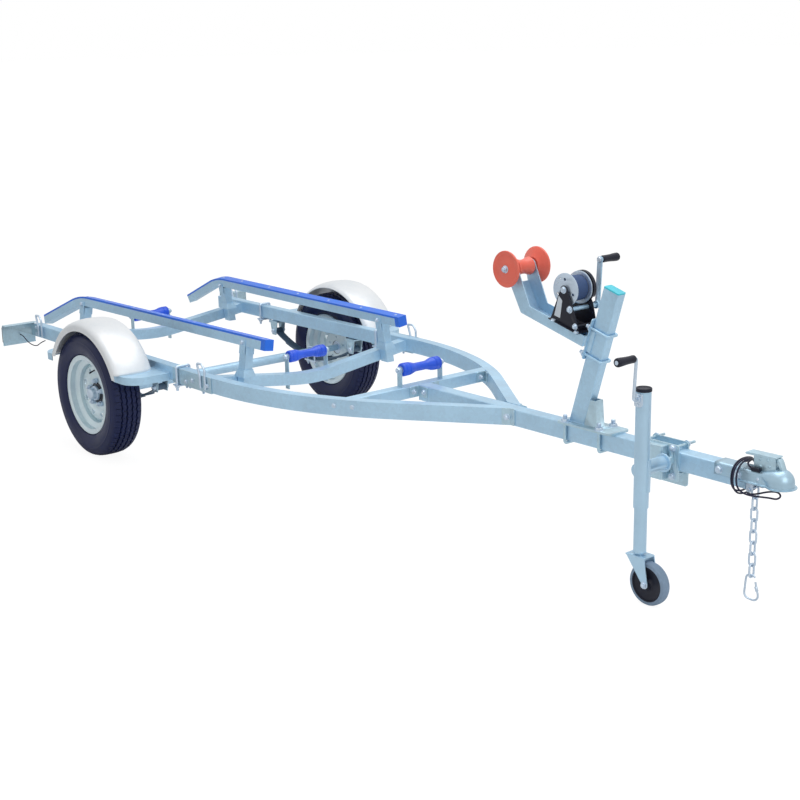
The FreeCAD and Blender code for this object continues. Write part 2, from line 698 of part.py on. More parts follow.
def tray(x0, x1, skirt_x):
    """A plate from the rail out under a fender's foot, with its outer edges turned down past skirt_x."""
    z0, z1 = FENDER_FOOT_Z - TRAY_H, FENDER_FOOT_Z

    def slab(inset, bottom, top):
        r = TRAY_CORNER_R - inset
        a, b = x1 - inset, TRAY_OUTER_Y - inset
        corner = V(a - r, b - r, bottom)
        middle = corner + V(r * math.sin(math.pi / 4), r * math.sin(math.pi / 4), 0)
        pts = [V(x0, RAIL_OUTER_Y, bottom), V(a, RAIL_OUTER_Y, bottom), V(a, b - r, bottom), V(a - r, b, bottom),
               V(x0, b, bottom)]
        edges = [Part.LineSegment(pts[0], pts[1]).toShape(), Part.LineSegment(pts[1], pts[2]).toShape(),
                 Part.Arc(pts[2], middle, pts[3]).toShape()]
        if a - r - x0 > 1:
            edges.append(Part.LineSegment(pts[3], pts[4]).toShape())
        edges.append(Part.LineSegment(pts[4], pts[0]).toShape())
        return prism_edges(edges, V(0, 0, top - bottom))

    whole = slab(0, z0, z1).cut(slab(TRAY_T, z0 - 1, z1 - TRAY_T))
    under = box(x0 - 1, skirt_x, RAIL_OUTER_Y - 1, TRAY_OUTER_Y + 1, z0 - 1, z1 - TRAY_T)
    return whole.cut(under)


def fender_brackets():
    front = tray(TRAY_FRONT_X0, TRAY_FRONT_X1, TRAY_FRONT_X0)
    # the rear tray is made looking forward, then turned about the axle's plane
    rear = tray(-TRAY_REAR_X0, -TRAY_REAR_X1, TYRE_R - 12).mirror(V(0, 0, 0), V(1, 0, 0))
    return front, rear


def lamp_bracket():
    """A folded plate across the trailer's rear corner, with a foot along the rail."""
    inner_y = LAMP_Y0 - 26
    plate = box(LAMP_X, LAMP_X + 3, inner_y, LAMP_Y1, LAMP_Z0, LAMP_Z1)
    top = box(LAMP_X, LAMP_X + 38, inner_y, LAMP_Y1, LAMP_Z1 - 3, LAMP_Z1)
    foot = box(LAMP_X, RAIL_REAR_X + 60, RAIL_OUTER_Y, RAIL_OUTER_Y + 3, RAIL_BOTTOM + 5, RAIL_TOP - 5)
    return fuse(plate, top, foot)


def lamp():
    body = box(LAMP_X - LAMP_T, LAMP_X, LAMP_Y0 + 6, LAMP_Y1 - 6, LAMP_Z0 + 10, LAMP_Z1 - 10)
    return rounded(body, 10, (1, 0, 0))


# ---------------------------------------------------------------- winch post and arm
LEAN = math.radians(POST_LEAN_DEG)
POST_UP = V(math.sin(LEAN), 0, math.cos(LEAN))
POST_BASE = V(POST_X, 0, RAIL_TOP + BASE_T)


def winch_post():
    post = box(-POST_DEPTH / 2, POST_DEPTH / 2, -POST_WIDTH / 2, POST_WIDTH / 2, -60, POST_LENGTH)
    hole = box(-POST_DEPTH / 2 + POST_WALL, POST_DEPTH / 2 - POST_WALL, -POST_WIDTH / 2 + POST_WALL,
               POST_WIDTH / 2 - POST_WALL, -61, POST_LENGTH + 1)
    post = rounded(post, 5, (0, 0, 1)).cut(hole)
    post.rotate(V(0, 0, 0), V(0, 1, 0), POST_LEAN_DEG)
    post.translate(POST_BASE)
    above = box(POST_X - POST_LENGTH, POST_X + POST_LENGTH, -POST_WIDTH, POST_WIDTH, POST_BASE.z,
                POST_BASE.z + 2 * POST_LENGTH)
    return post.common(above)


def post_base():
    """The plate on the drawbar with its two U-bolts, and a folded gusset in front of the post."""
    z0, z1 = RAIL_TOP, RAIL_TOP + BASE_T
    plate = rounded(box(BASE_X0, BASE_X1, -BASE_W / 2, BASE_W / 2, z0, z1), 16, (0, 0, 1))
    bolts = [u_bolt_round_drawbar(BASE_X0 + 32), u_bolt_round_drawbar(BASE_X1 - 66)]
    nuts = []
    for x in (BASE_X0 + 32, BASE_X1 - 66):
        for side in (-1, 1):
            y = side * (DRAWBAR_W / 2 + U_BOLT_R + U_BOLT_GAP)
            nuts.append(cyl((x, y, z1), (0, 0, 1), 2 * U_BOLT_R, 2 * U_BOLT_R - 2))
    return fuse(plate, gusset(), *bolts, *nuts)


def post_cap():
    cap = box(-POST_DEPTH / 2, POST_DEPTH / 2, -POST_WIDTH / 2, POST_WIDTH / 2, POST_LENGTH, POST_LENGTH + 6)
    cap = rounded(cap, 5, (0, 0, 1))
    cap.rotate(V(0, 0, 0), V(0, 1, 0), POST_LEAN_DEG)
    cap.translate(POST_BASE)
    return cap


def gusset():
    z0 = RAIL_TOP + BASE_T
    lean = math.tan(LEAN)
    face = POST_X + POST_DEPTH / 2 / math.cos(LEAN)
    half, t = POST_WIDTH / 2, SADDLE_T

    def outline(inset):
        top = z0 + GUSSET_H
        shift = inset / math.cos(LEAN)
        return [(face - 2 * inset, z0 - 2 * inset), (face + 62 - 1.4 * inset, z0 - 2 * inset),
                (face + 24 - 1.4 * inset + GUSSET_H * lean, top + 2 * inset),
                (face - shift + GUSSET_H * lean, top + 2 * inset)]

    whole = prism_xz(outline(0), -half, half)
    return whole.cut(prism_xz(outline(t), -half + t, half - t))


def post_point(up, across=0.0):
    """A point on the post: up along its axis from the base, across towards the front."""
    return POST_BASE + POST_UP * up + V(math.cos(LEAN), 0, -math.sin(LEAN)) * across


def u_bolt_round_drawbar(x):
    half = DRAWBAR_W / 2 + U_BOLT_R + U_BOLT_GAP
    top = RAIL_TOP + BASE_T + 24
    z0 = RAIL_BOTTOM - U_BOLT_R - U_BOLT_GAP
    return rod([(x, -half, top), (x, -half, z0), (x, half, z0), (x, half, top)], U_BOLT_R, U_BOLT_R + 4)


def winch_arm():
    """A bent channel, open above and in front: a level part for the winch and a horn for the bow roller."""
    slope = math.radians(ARM_SLOPE_DEG)
    lean = math.radians(HORN_LEAN_DEG)
    foot = V(ARM_REAR_X, 0, ARM_REAR_Z)
    along, up = V(math.cos(slope), 0, -math.sin(slope)), V(math.sin(slope), 0, math.cos(slope))
    horn, out = V(-math.sin(lean), 0, math.cos(lean)), V(math.cos(lean), 0, math.sin(lean))
    ahead = V(math.cos(LEAN), 0, -math.sin(LEAN))
    end = post_point(0, -POST_DEPTH / 2 - SADDLE_T)
    axis = V(BOW_X, 0, BOW_Z)

    def to_post(start):
        return start + along * ((end - start).dot(ahead) / along.dot(ahead))

    upper = foot + up * ARM_H
    # where the horn's front edge meets the level part's top edge
    front = foot + out * HORN_W
    inner = front + horn * ((upper - front).dot(up) / horn.dot(up))
    head = (axis - foot).dot(horn)
    outline = [foot, to_post(foot), to_post(upper), inner, axis + out * ARM_HEAD_R, axis - out * ARM_HEAD_R,
               foot + horn * (head - 1.6 * ARM_HEAD_R)]
    whole = fuse(prism_xz([(p.x, p.z) for p in outline], -ARM_W / 2, ARM_W / 2),
                 rod_y(BOW_X, BOW_Z, -ARM_W / 2, ARM_W / 2, ARM_HEAD_R))
    # the channel's inside: above the level web and in front of the horn's web
    t = ARM_T
    corner = foot + out * t + horn * ((up.dot(up) * t - (out * t).dot(up)) / horn.dot(up))
    last = to_post(foot + up * t) - along * (t + 2)
    inside = [corner, last, last + up * 2 * ARM_H, corner + horn * 3 * head + out * 4 * HORN_W, corner + horn * 3 * head]
    arm = whole.cut(prism_xz([(p.x, p.z) for p in inside], -ARM_W / 2 + t, ARM_W / 2 - t))
    # the horn's web stops below the roller
    stop = foot + horn * (head - SPOOL_R - 12)
    clear = [stop - out * 9, stop + out * 9, stop + out * 9 + horn * 2 * head, stop - out * 60 + horn * 2 * head]
    arm = arm.cut(prism_xz([(p.x, p.z) for p in clear], -ARM_W / 2 + t, ARM_W / 2 - t))
    arm = arm.cut(rod_y(BOW_X, BOW_Z, -ARM_W, ARM_W, BOW_BOLT_R + 0.5))
    return fuse(arm, saddle(), arm_u_bolt(261), arm_u_bolt(361))


def saddle():
    """The plate behind the post and its two cheeks."""
    back, t = -POST_DEPTH / 2, SADDLE_T
    side = POST_WIDTH / 2
    plate = rounded(box(back - t, back, -34, 34, 240, 395), 8, (1, 0, 0))
    cheeks = [box(back - t, back + 18, y0, y0 + 3, 270, 352) for y0 in (-side - 3, side)]
    nuts = [cyl((back - t, y, up), (-1, 0, 0), 9, 8)
            for up in (261, 361) for y in (-side - 5 - U_BOLT_GAP, side + 5 + U_BOLT_GAP)]
    shape = fuse(plate, *cheeks, *nuts)
    shape.rotate(V(0, 0, 0), V(0, 1, 0), POST_LEAN_DEG)
    shape.translate(POST_BASE)
    return shape


def arm_u_bolt(up):
    half_y = POST_WIDTH / 2 + 5 + U_BOLT_GAP
    back = -POST_DEPTH / 2
    front = POST_DEPTH / 2 + 5 + U_BOLT_GAP
    pts = []
    for across, y in ((back - 22, -half_y), (front, -half_y), (front, half_y), (back - 22, half_y)):
        p = post_point(up, across)
        pts.append((p.x, y, p.z))
    return rod(pts, 5, 9)


def bow_bell(side):
    y0 = ARM_W / 2 + 5
    profile = [(side * y0, SPOOL_R - 2), (side * (y0 + 8), SPOOL_R + 8), (side * (y0 + BELL_W - 6), BELL_R),
               (side * (y0 + BELL_W), BELL_R), (side * (y0 + BELL_W), BOW_BOLT_R),
               (side * y0, BOW_BOLT_R)]
    return turned(profile, (BOW_X, 0, BOW_Z))


def bow_spool():
    half = ARM_W / 2 - ARM_T - 5
    profile = [(-half, SPOOL_R), (-half + 14, SPOOL_R - 1), (-12, SPOOL_WAIST_R), (12, SPOOL_WAIST_R),
               (half - 14, SPOOL_R - 1), (half, SPOOL_R), (half, BOW_BOLT_R), (-half, BOW_BOLT_R)]
    return turned(profile, (BOW_X, 0, BOW_Z))


def bow_bolt():
    y1 = ARM_W / 2 + 5 + BELL_W
    shank = rod_y(BOW_X, BOW_Z, -y1 - 14, y1 + 14, BOW_BOLT_R)
    nuts = [rod_y(BOW_X, BOW_Z, a, a + 9, 12) for a in (-y1 - 9, y1)]
    return fuse(shank, *nuts)


# ---------------------------------------------------------------- winch
def arm_top_z(x):
    slope = math.radians(ARM_SLOPE_DEG)
    corner = V(ARM_REAR_X, 0, ARM_REAR_Z) + V(math.sin(slope), 0, math.cos(slope)) * ARM_H
    return corner.z - (x - corner.x) * math.tan(slope)


def winch_frame():
    """A base on the arm, a triangular plate on the right, and a plate with the gear cover on the left."""
    x0, x1 = DRUM_X - 66, DRUM_X + 72
    z0, z1 = arm_top_z(x0), arm_top_z(x1)
    base = prism_xz([(x0, z0), (x1, z1), (x1, z1 + 4), (x0, z0 + 4)], -62, 62)
    near = prism_xz([(x0 + 4, z0 + 2), (x1 - 2, z1 + 2), (x1 - 2, z1 + 20), (DRUM_X + 15, DRUM_Z + 5),
                     (DRUM_X - 15, DRUM_Z + 3)], -54, -50)
    near = near.fuse(rod_y(DRUM_X, DRUM_Z, -54, -50, 16))
    far = prism_xz([(x0 + 4, z0 + 2), (x1, z1 + 2), (x1 - 4, z1 + 40), (CRANK_X + 24, CRANK_Z + 16),
                    (DRUM_X + 14, DRUM_Z + 14), (DRUM_X - 12, DRUM_Z + 14)], 36, 40)
    disc = rod_y(DRUM_X, DRUM_Z, 36, 40, 60)
    upper = box(DRUM_X - 90, DRUM_X + 90, 30, 70, DRUM_Z - 30, DRUM_Z + 90)
    cover = fuse(ring_y(DRUM_X, DRUM_Z, 39, 46, 60, 56), rod_y(DRUM_X, DRUM_Z, 46, 49, 60)).common(upper)
    bar = rod_y(x1 - 16, z1 + 24, -60, 46, 6)
    shaft_hole = rod_y(CRANK_X, CRANK_Z, -60, 80, 8.5)
    drum_hole = rod_y(DRUM_X, DRUM_Z, -60, 80, 9.5)
    return fuse(base, bar, near, far, disc, cover).cut(group(shaft_hole, drum_hole))


def winch_drum():
    y0, y1 = DRUM_Y0, DRUM_Y1
    core = 22
    profile = [(y0, DRUM_FLANGE_R), (y0 + 3, DRUM_FLANGE_R), (y0 + 3, core), (y1 - 3, core),
               (y1 - 3, DRUM_FLANGE_R), (y1, DRUM_FLANGE_R), (y1, 9), (62, 9), (62, 0), (-58, 0), (-58, 9), (y0, 9)]
    return turned(profile, (DRUM_X, 0, DRUM_Z))


def winch_strap():
    return ring_y(DRUM_X, DRUM_Z, DRUM_Y0 + 5, DRUM_Y1 - 5, STRAP_R, 22.2)


def winch_crank():
    shaft = rod_y(CRANK_X, CRANK_Z, -58, CRANK_Y, 8)
    boss = rod_y(CRANK_X, CRANK_Z, CRANK_Y - 14, CRANK_Y + 4, 14)
    arm = box(CRANK_X - 11, CRANK_X + 11, CRANK_Y - 5, CRANK_Y, CRANK_Z, CRANK_Z + CRANK_ARM_L)
    end = rod_y(CRANK_X, CRANK_Z + CRANK_ARM_L, CRANK_Y - 5, CRANK_Y, 11)
    pin = rod_y(CRANK_X, CRANK_Z + CRANK_ARM_L, CRANK_Y, CRANK_Y + 6, 9)
    shape = fuse(shaft, boss, arm, end, pin)
    shape.rotate(V(CRANK_X, 0, CRANK_Z), V(0, 1, 0), CRANK_TILT_DEG)
    return shape


def winch_grip():
    y0 = CRANK_Y + 6
    grip = Part.makeCone(GRIP_R - 3, GRIP_R, GRIP_L, V(CRANK_X, y0, CRANK_Z + CRANK_ARM_L), V(0, 1, 0))
    grip.rotate(V(CRANK_X, 0, CRANK_Z), V(0, 1, 0), CRANK_TILT_DEG)
    return grip


# ---------------------------------------------------------------- jack
def jack_mount():
    """Two plates clamped on the drawbar by four bolts, a folded housing, and the pin that the jack swings on."""
    side, t = DRAWBAR_W / 2, 6.0
    near = rounded(box(MOUNT_X0 - 40, MOUNT_X1, -side - t, -side, 368, 496), 10, (0, 1, 0))
    far = rounded(box(MOUNT_X0 - 40, MOUNT_X1 - 12, side, side + t, 336, 493), 10, (0, 1, 0))
    x0, x1, y0 = MOUNT_X0 - 10, MOUNT_X0 + 80, -side - 36
    housing = rounded(box(x0, x1, y0, -side, 374, 490), 8, (0, 0, 1))
    housing = housing.cut(box(x0 + 4, x1 - 4, y0 + 4, -side + 1, 378, 486))
    housing = housing.cut(box(x0 - 1, x1 + 1, -side - t / 2, -side + 1, 373, 491))
    bolts = []
    for x in (MOUNT_X0 - 28, MOUNT_X1 - 24):
        for z, tail in ((484, 42), (386, 26)):
            bolts.append(rod_y(x, z, -side - t - 10, side + t + tail, 5))
            bolts.append(rod_y(x, z, -side - t - 8, -side - t, 9))
            bolts.append(rod_y(x, z, side + t, side + t + 9, 9))
    pin = rod_y(PIVOT_X, PIVOT_Z, JACK_Y + JACK_R + 44, -side - t, PIVOT_PIN_R)
    return fuse(near, far, housing, pin, *bolts)


def jack_tube():
    """The outer tube with its half sleeve, and the turning sleeve on the mount's pin with an index plate."""
    outer = cyl((JACK_X, JACK_Y, JACK_BOTTOM), (0, 0, 1), JACK_R, JACK_TOP - JACK_BOTTOM)
    bore = cyl((JACK_X, JACK_Y, JACK_BOTTOM - 1), (0, 0, 1), JACK_R - JACK_WALL, JACK_TOP - JACK_BOTTOM - 20)
    index_y = -DRAWBAR_W / 2 - 36 - 6
    sleeve = rod_y(PIVOT_X, PIVOT_Z, JACK_Y + JACK_R - 14, index_y, PIVOT_TUBE_R)
    plate = rod_y(PIVOT_X, PIVOT_Z, index_y - 6, index_y, PIVOT_TUBE_R + 8)
    hole = rod_y(PIVOT_X, PIVOT_Z, JACK_Y + JACK_R + 40, index_y + 1, PIVOT_PIN_R + 0.5)
    half_sleeve = cyl((JACK_X, JACK_Y, PIVOT_Z - 60), (0, 0, 1), JACK_R + 4, 110)
    half_sleeve = half_sleeve.common(box(JACK_X - 60, JACK_X + 60, JACK_Y, JACK_Y + 60, 0, 900))
    return fuse(outer, sleeve, plate, half_sleeve).cut(group(bore, hole))


def jack_cap():
    """A cap with a raised rim and a small plate below it for the crank's bearing."""
    rim = cyl((JACK_X, JACK_Y, JACK_TOP), (0, 0, 1), JACK_R + 2, 12)
    dish = cyl((JACK_X, JACK_Y, JACK_TOP + 8), (0, 0, 1), JACK_R - 3, 5)
    return rim.cut(dish)


def jack_crank():
    y0, z0 = JACK_Y - JACK_R, JACK_CRANK_Z
    bar = rod([(JACK_X, y0 - 2, z0), (JACK_X, y0 - 24, z0), (JACK_X + 8, y0 - 24, z0 + JACK_CRANK_L),
               (JACK_X + 8, y0 - 34, z0 + JACK_CRANK_L)], 5.5, 9)
    boss = rod_y(JACK_X, z0, y0 - 10, y0 - 2, 12)
    plate = rounded(box(JACK_X - 15, JACK_X + 15, y0 - 4, y0, z0 - 26, z0 + 18), 8, (0, 1, 0))
    barrel = cyl((JACK_X, JACK_Y, JACK_BOTTOM), (0, 0, 1), JACK_R, JACK_TOP - JACK_BOTTOM)
    ears = box(JACK_X - 12, JACK_X + 12, y0 - 1, y0 + 7, z0 - 20, z0 + 14).cut(barrel)
    return fuse(bar, boss, plate, ears)


def jack_grip():
    y0 = JACK_Y - JACK_R - 34
    return Part.makeCone(GRIP_R - 3, GRIP_R, GRIP_L, V(JACK_X + 8, y0, JACK_CRANK_Z + JACK_CRANK_L), V(0, -1, 0))


def jack_leg():
    return cyl((JACK_X, JACK_Y, LEG_BOTTOM), (0, 0, 1), LEG_R, 320)


def caster_fork():
    """A bent strap: a crown under the leg and two blades down to the wheel's pin."""
    x1 = JACK_X + JOCKEY_TRAIL
    half = JOCKEY_W / 2 + 5
    crown = box(JACK_X - 38, JACK_X + 40, JACK_Y - half - 4, JACK_Y + half + 4, LEG_BOTTOM - 10, LEG_BOTTOM - 5)
    blades = []
    for ya, yb in ((JACK_Y - half - 4, JACK_Y - half), (JACK_Y + half, JACK_Y + half + 4)):
        blades.append(prism_xz([(JACK_X - 38, LEG_BOTTOM - 5), (JACK_X + 40, LEG_BOTTOM - 5), (x1 + 12, JOCKEY_R),
                                (x1 - 12, JOCKEY_R)], ya, yb))
        blades.append(rod_y(x1, JOCKEY_R, ya, yb, 12))
    pin = rod_y(x1, JOCKEY_R, JACK_Y - half - 10, JACK_Y + half + 10, 6)
    stud = cyl((JACK_X, JACK_Y, LEG_BOTTOM - 5), (0, 0, 1), 14, 4.7)
    return fuse(crown, pin, stud, *blades)


def jockey_wheel():
    half = JOCKEY_W / 2
    profile = [(-half, JOCKEY_R - 8), (-half + 7, JOCKEY_R), (half - 7, JOCKEY_R), (half, JOCKEY_R - 8), (half, 52),
               (half - 5, 48), (half - 5, 20), (half, 18), (half, 6.4), (-half, 6.4), (-half, 18), (-half + 5, 20),
               (-half + 5, 48), (-half, 52)]
    return turned(profile, (JACK_X + JOCKEY_TRAIL, JACK_Y, JOCKEY_R))


# ---------------------------------------------------------------- coupler and chain
def arch(x, half, top, corner):
    """The coupler's cross-section at x: straight sides, rounded shoulders, flat underside."""
    k = math.sin(math.pi / 4)
    z0, z1 = COUPLER_BOTTOM, top - corner
    flat = half - corner
    a, b, c = V(x, -half, z0), V(x, -half, z1), V(x, -flat, top)
    d, e, f = V(x, flat, top), V(x, half, z1), V(x, half, z0)
    over_a, over_b = V(x, -flat - corner * k, z1 + corner * k), V(x, flat + corner * k, z1 + corner * k)
    return Part.Wire([
        Part.LineSegment(a, b).toShape(), Part.Arc(b, over_a, c).toShape(), Part.LineSegment(c, d).toShape(),
        Part.Arc(d, over_b, e).toShape(), Part.LineSegment(e, f).toShape(), Part.LineSegment(f, a).toShape()])


def coupler_shell(inset, rear_x):
    half = DRAWBAR_W / 2 + COUPLER_T - inset
    top = RAIL_TOP + COUPLER_T - inset
    neck = [arch(x, half, top, 10 - inset) for x in (rear_x, COUPLER_NECK_X)]
    dome = arch(BALL_X, DOME_R - inset, DOME_Z + DOME_R - inset, DOME_R - inset - 1)
    straight = Part.makeLoft(neck, True, True)
    swell = Part.makeLoft([neck[1], dome], True, True)
    return straight.fuse(swell)


def coupler():
    """A pressed shell on the drawbar's end with a flared bottom flange, and the head with the ball's socket and dome."""
    half = DRAWBAR_W / 2 + COUPLER_T
    z0, z1 = COUPLER_BOTTOM, COUPLER_BOTTOM + COUPLER_T
    dome = Part.makeSphere(DOME_R, V(BALL_X, 0, DOME_Z))
    skirt = cyl((BALL_X, 0, z0), (0, 0, 1), DOME_R, DOME_Z - z0)
    nose = fuse(dome, skirt).common(box(BALL_X, BALL_X + 2 * DOME_R, -DOME_R, DOME_R, z0, DOME_Z + 2 * DOME_R))
    wide = half + COUPLER_FLANGE
    lip_r = DOME_R + COUPLER_FLANGE
    x0 = COUPLER_REAR_X + 92
    pts = [V(x0, -half, z0), V(x0 + 14, -wide, z0), V(COUPLER_NECK_X, -wide, z0), V(BALL_X, -lip_r, z0),
           V(BALL_X, lip_r, z0), V(COUPLER_NECK_X, wide, z0), V(x0 + 14, wide, z0), V(x0, half, z0), V(x0, -half, z0)]
    flange = Part.Face(Part.makePolygon(pts)).extrude(V(0, 0, z1 - z0))
    lip = cyl((BALL_X, 0, z0), (0, 0, 1), lip_r, z1 - z0)
    body = fuse(coupler_shell(0, COUPLER_REAR_X), nose, flange, lip)
    inside = coupler_shell(COUPLER_T, COUPLER_REAR_X - 1)
    inside = inside.common(box(COUPLER_REAR_X - 2, BALL_X - BALL_R - 8, -half, half, z0 - 1, z1 + 2 * RAIL_TOP))
    opening = box(COUPLER_REAR_X - 1, BALL_X - BALL_R - 8, -half + COUPLER_T, half - COUPLER_T, z0 - 1, RAIL_TOP)
    socket = fuse(Part.makeSphere(BALL_R, V(BALL_X, 0, BALL_Z)),
                  cyl((BALL_X, 0, z0 - 10), (0, 0, 1), BALL_R, BALL_Z - z0 + 10))
    body = body.cut(group(inside)).cut(opening).cut(socket)
    # two lugs below the flange carry the chain's pin, and hexagon heads hold the shell on the drawbar
    lugs = []
    for y0 in (-half, half - COUPLER_T):
        lug = box(CHAIN_X - 12, CHAIN_X + 12, y0, y0 + COUPLER_T, CHAIN_PIN_Z - 9, z0 + 2)
        lugs.append(lug)
    pin = rod_y(CHAIN_X, CHAIN_PIN_Z, -half - 6, half + 6, CHAIN_PIN_R)
    heads = [rod_y(x, 452, y0, y0 + 9, 10) for x in (COUPLER_REAR_X + 20, COUPLER_REAR_X + 92)
             for y0 in (-half - 9, half)]
    whole = fuse(body, pin, *lugs, *heads)
    ahead = box(BALL_X - BALL_R - 8, NOSE_X + 1, -2 * DOME_R, 2 * DOME_R, 0, 2 * RAIL_TOP)
    return whole.cut(ahead), whole.common(ahead)


def coupler_latch():
    """Side plates over the ball's clamp, a flat lever on top and a curved tongue down to the dome."""
    z = RAIL_TOP + COUPLER_T
    block = prism_xz([(BALL_X - 90, z - 2), (BALL_X - 8, z - 2), (BALL_X - 12, z + 50), (BALL_X - 93, z + 46)],
                     -16, 16)
    lever = prism_xz([(BALL_X - 120, z + 45), (BALL_X - 10, z + 50), (BALL_X - 10, z + 55), (BALL_X - 120, z + 50)],
                     -19, 19)
    tongue = prism_xz([(BALL_X - 14, z + 48), (BALL_X - 4, z + 50), (BALL_X + 14, z + 12), (BALL_X + 6, z + 10)],
                      -11, 11)
    solid = coupler_shell(0, COUPLER_REAR_X).fuse(Part.makeSphere(DOME_R, V(BALL_X, 0, DOME_Z)))
    return fuse(block, lever, tongue).cut(solid)


def chain_link(z, turn):
    half = LINK_L / 2 - LINK_W / 2
    w = LINK_W / 2 - LINK_ROD_R
    pts = [V(-w, 0, half), V(-w, 0, -half), V(0, 0, -half - w), V(w, 0, -half), V(w, 0, half), V(0, 0, half + w)]
    edges = [Part.LineSegment(pts[0], pts[1]).toShape(), Part.Arc(pts[1], pts[2], pts[3]).toShape(),
             Part.LineSegment(pts[3], pts[4]).toShape(), Part.Arc(pts[4], pts[5], pts[0]).toShape()]
    path = Part.Wire(edges)
    ring = []
    for k in range(7):
        a = 2 * math.pi * k / 6
        ring.append(V(-w + LINK_ROD_R * math.cos(a), LINK_ROD_R * math.sin(a), half))
    link = path.makePipeShell([Part.makePolygon(ring)], True, False)
    link.rotate(V(0, 0, 0), V(0, 0, 1), turn)
    link.translate(V(CHAIN_X, 0, z))
    return link


LINK_PITCH = LINK_L - 4 * LINK_ROD_R - LINK_SLACK
FIRST_LINK_Z = CHAIN_PIN_Z + CHAIN_PIN_R + LINK_SLACK + 2 * LINK_ROD_R - LINK_L / 2
LAST_LINK_Z = FIRST_LINK_Z - (LINK_COUNT - 1) * LINK_PITCH


def chain():
    links = [chain_link(FIRST_LINK_Z - k * LINK_PITCH, 90 * (k % 2)) for k in range(LINK_COUNT)]
    return group(*links)


def chain_hook():
    """An open snap hook, hung from the last link."""
    r = 3.5
    bar = LAST_LINK_Z - LINK_L / 2 + 2 * LINK_ROD_R + LINK_SLACK + r
    low = bar - HOOK_H
    return rod([(CHAIN_X + 14, 0, bar - 4), (CHAIN_X - 2, 0, bar), (CHAIN_X - 18, 0, bar - 10),
                (CHAIN_X - 26, 0, low + 18), (CHAIN_X - 8, 0, low), (CHAIN_X + 18, 0, low),
                (CHAIN_X + 30, 0, low + 20), (CHAIN_X + 16, 0, bar - 16)], r, 7)


# ---------------------------------------------------------------- cords
# The breakaway cable leaves the drawbar's left side, goes twice round the coupler,
# hangs in one loop round the chain, and ends in a plug on the shell.
CABLE_POINTS = [
    (2938, 30.3, 440), (2938, 88, 440), (2990, 104, 452), (3036, 74, 480),
    (3044, 26, 497), (3046, -24, 497), (3047, -56, 476), (3048, -64, 434), (3049, -46, 400),
    (3050, 0, 389), (3051, 46, 400), (3052, 64, 434), (3053, 58, 474),
    (3054, 26, 497), (3056, -24, 499), (3057, -60, 478), (3058, -70, 434), (3059, -50, 394),
    (3060, 0, 382), (3061, 50, 394), (3062, 70, 434), (3063, 60, 474),
    (3064, 26, 497), (3065, -24, 498), (3067, -56, 478), (3069, -66, 440), (3076, -60, 410),
    (3104, -50, 398), (3150, -44, 402), (3190, -41, 412), (3212, -38, 424),
    (3204, -31, 428), (3164, -28, 416), (3112, -24, 396), (3080, -22, 392), (3073, 6, 390),
    (3077, 48, 400), (3077, 68, 438), (3076, 60, 476), (3075, 28, 498), (3076, -8, 498),
    (3080, -27, 491), (3098.6, -28, 483),
]
# A lamp's wire goes from the lamp plate, in a droop, to a hole in the rail's side.
WIRE_POINTS = [
    (-896.7, 66, 422), (-866, 66, 422), (-846, 56, 393), (-820, 42, 375),
    (-788, 30, 372), (-757, 24, 394), (-750, 1.2, 402),
]


def lamp_wire():
    return cord("lamp wire", [(x, RAIL_OUTER_Y + y, z) for x, y, z in WIRE_POINTS], WIRE_D)


def cable_plug():
    return rounded(box(3100, 3132, -35, -21, RAIL_TOP + COUPLER_T, RAIL_TOP + COUPLER_T + 12), 3, (1, 0, 0))


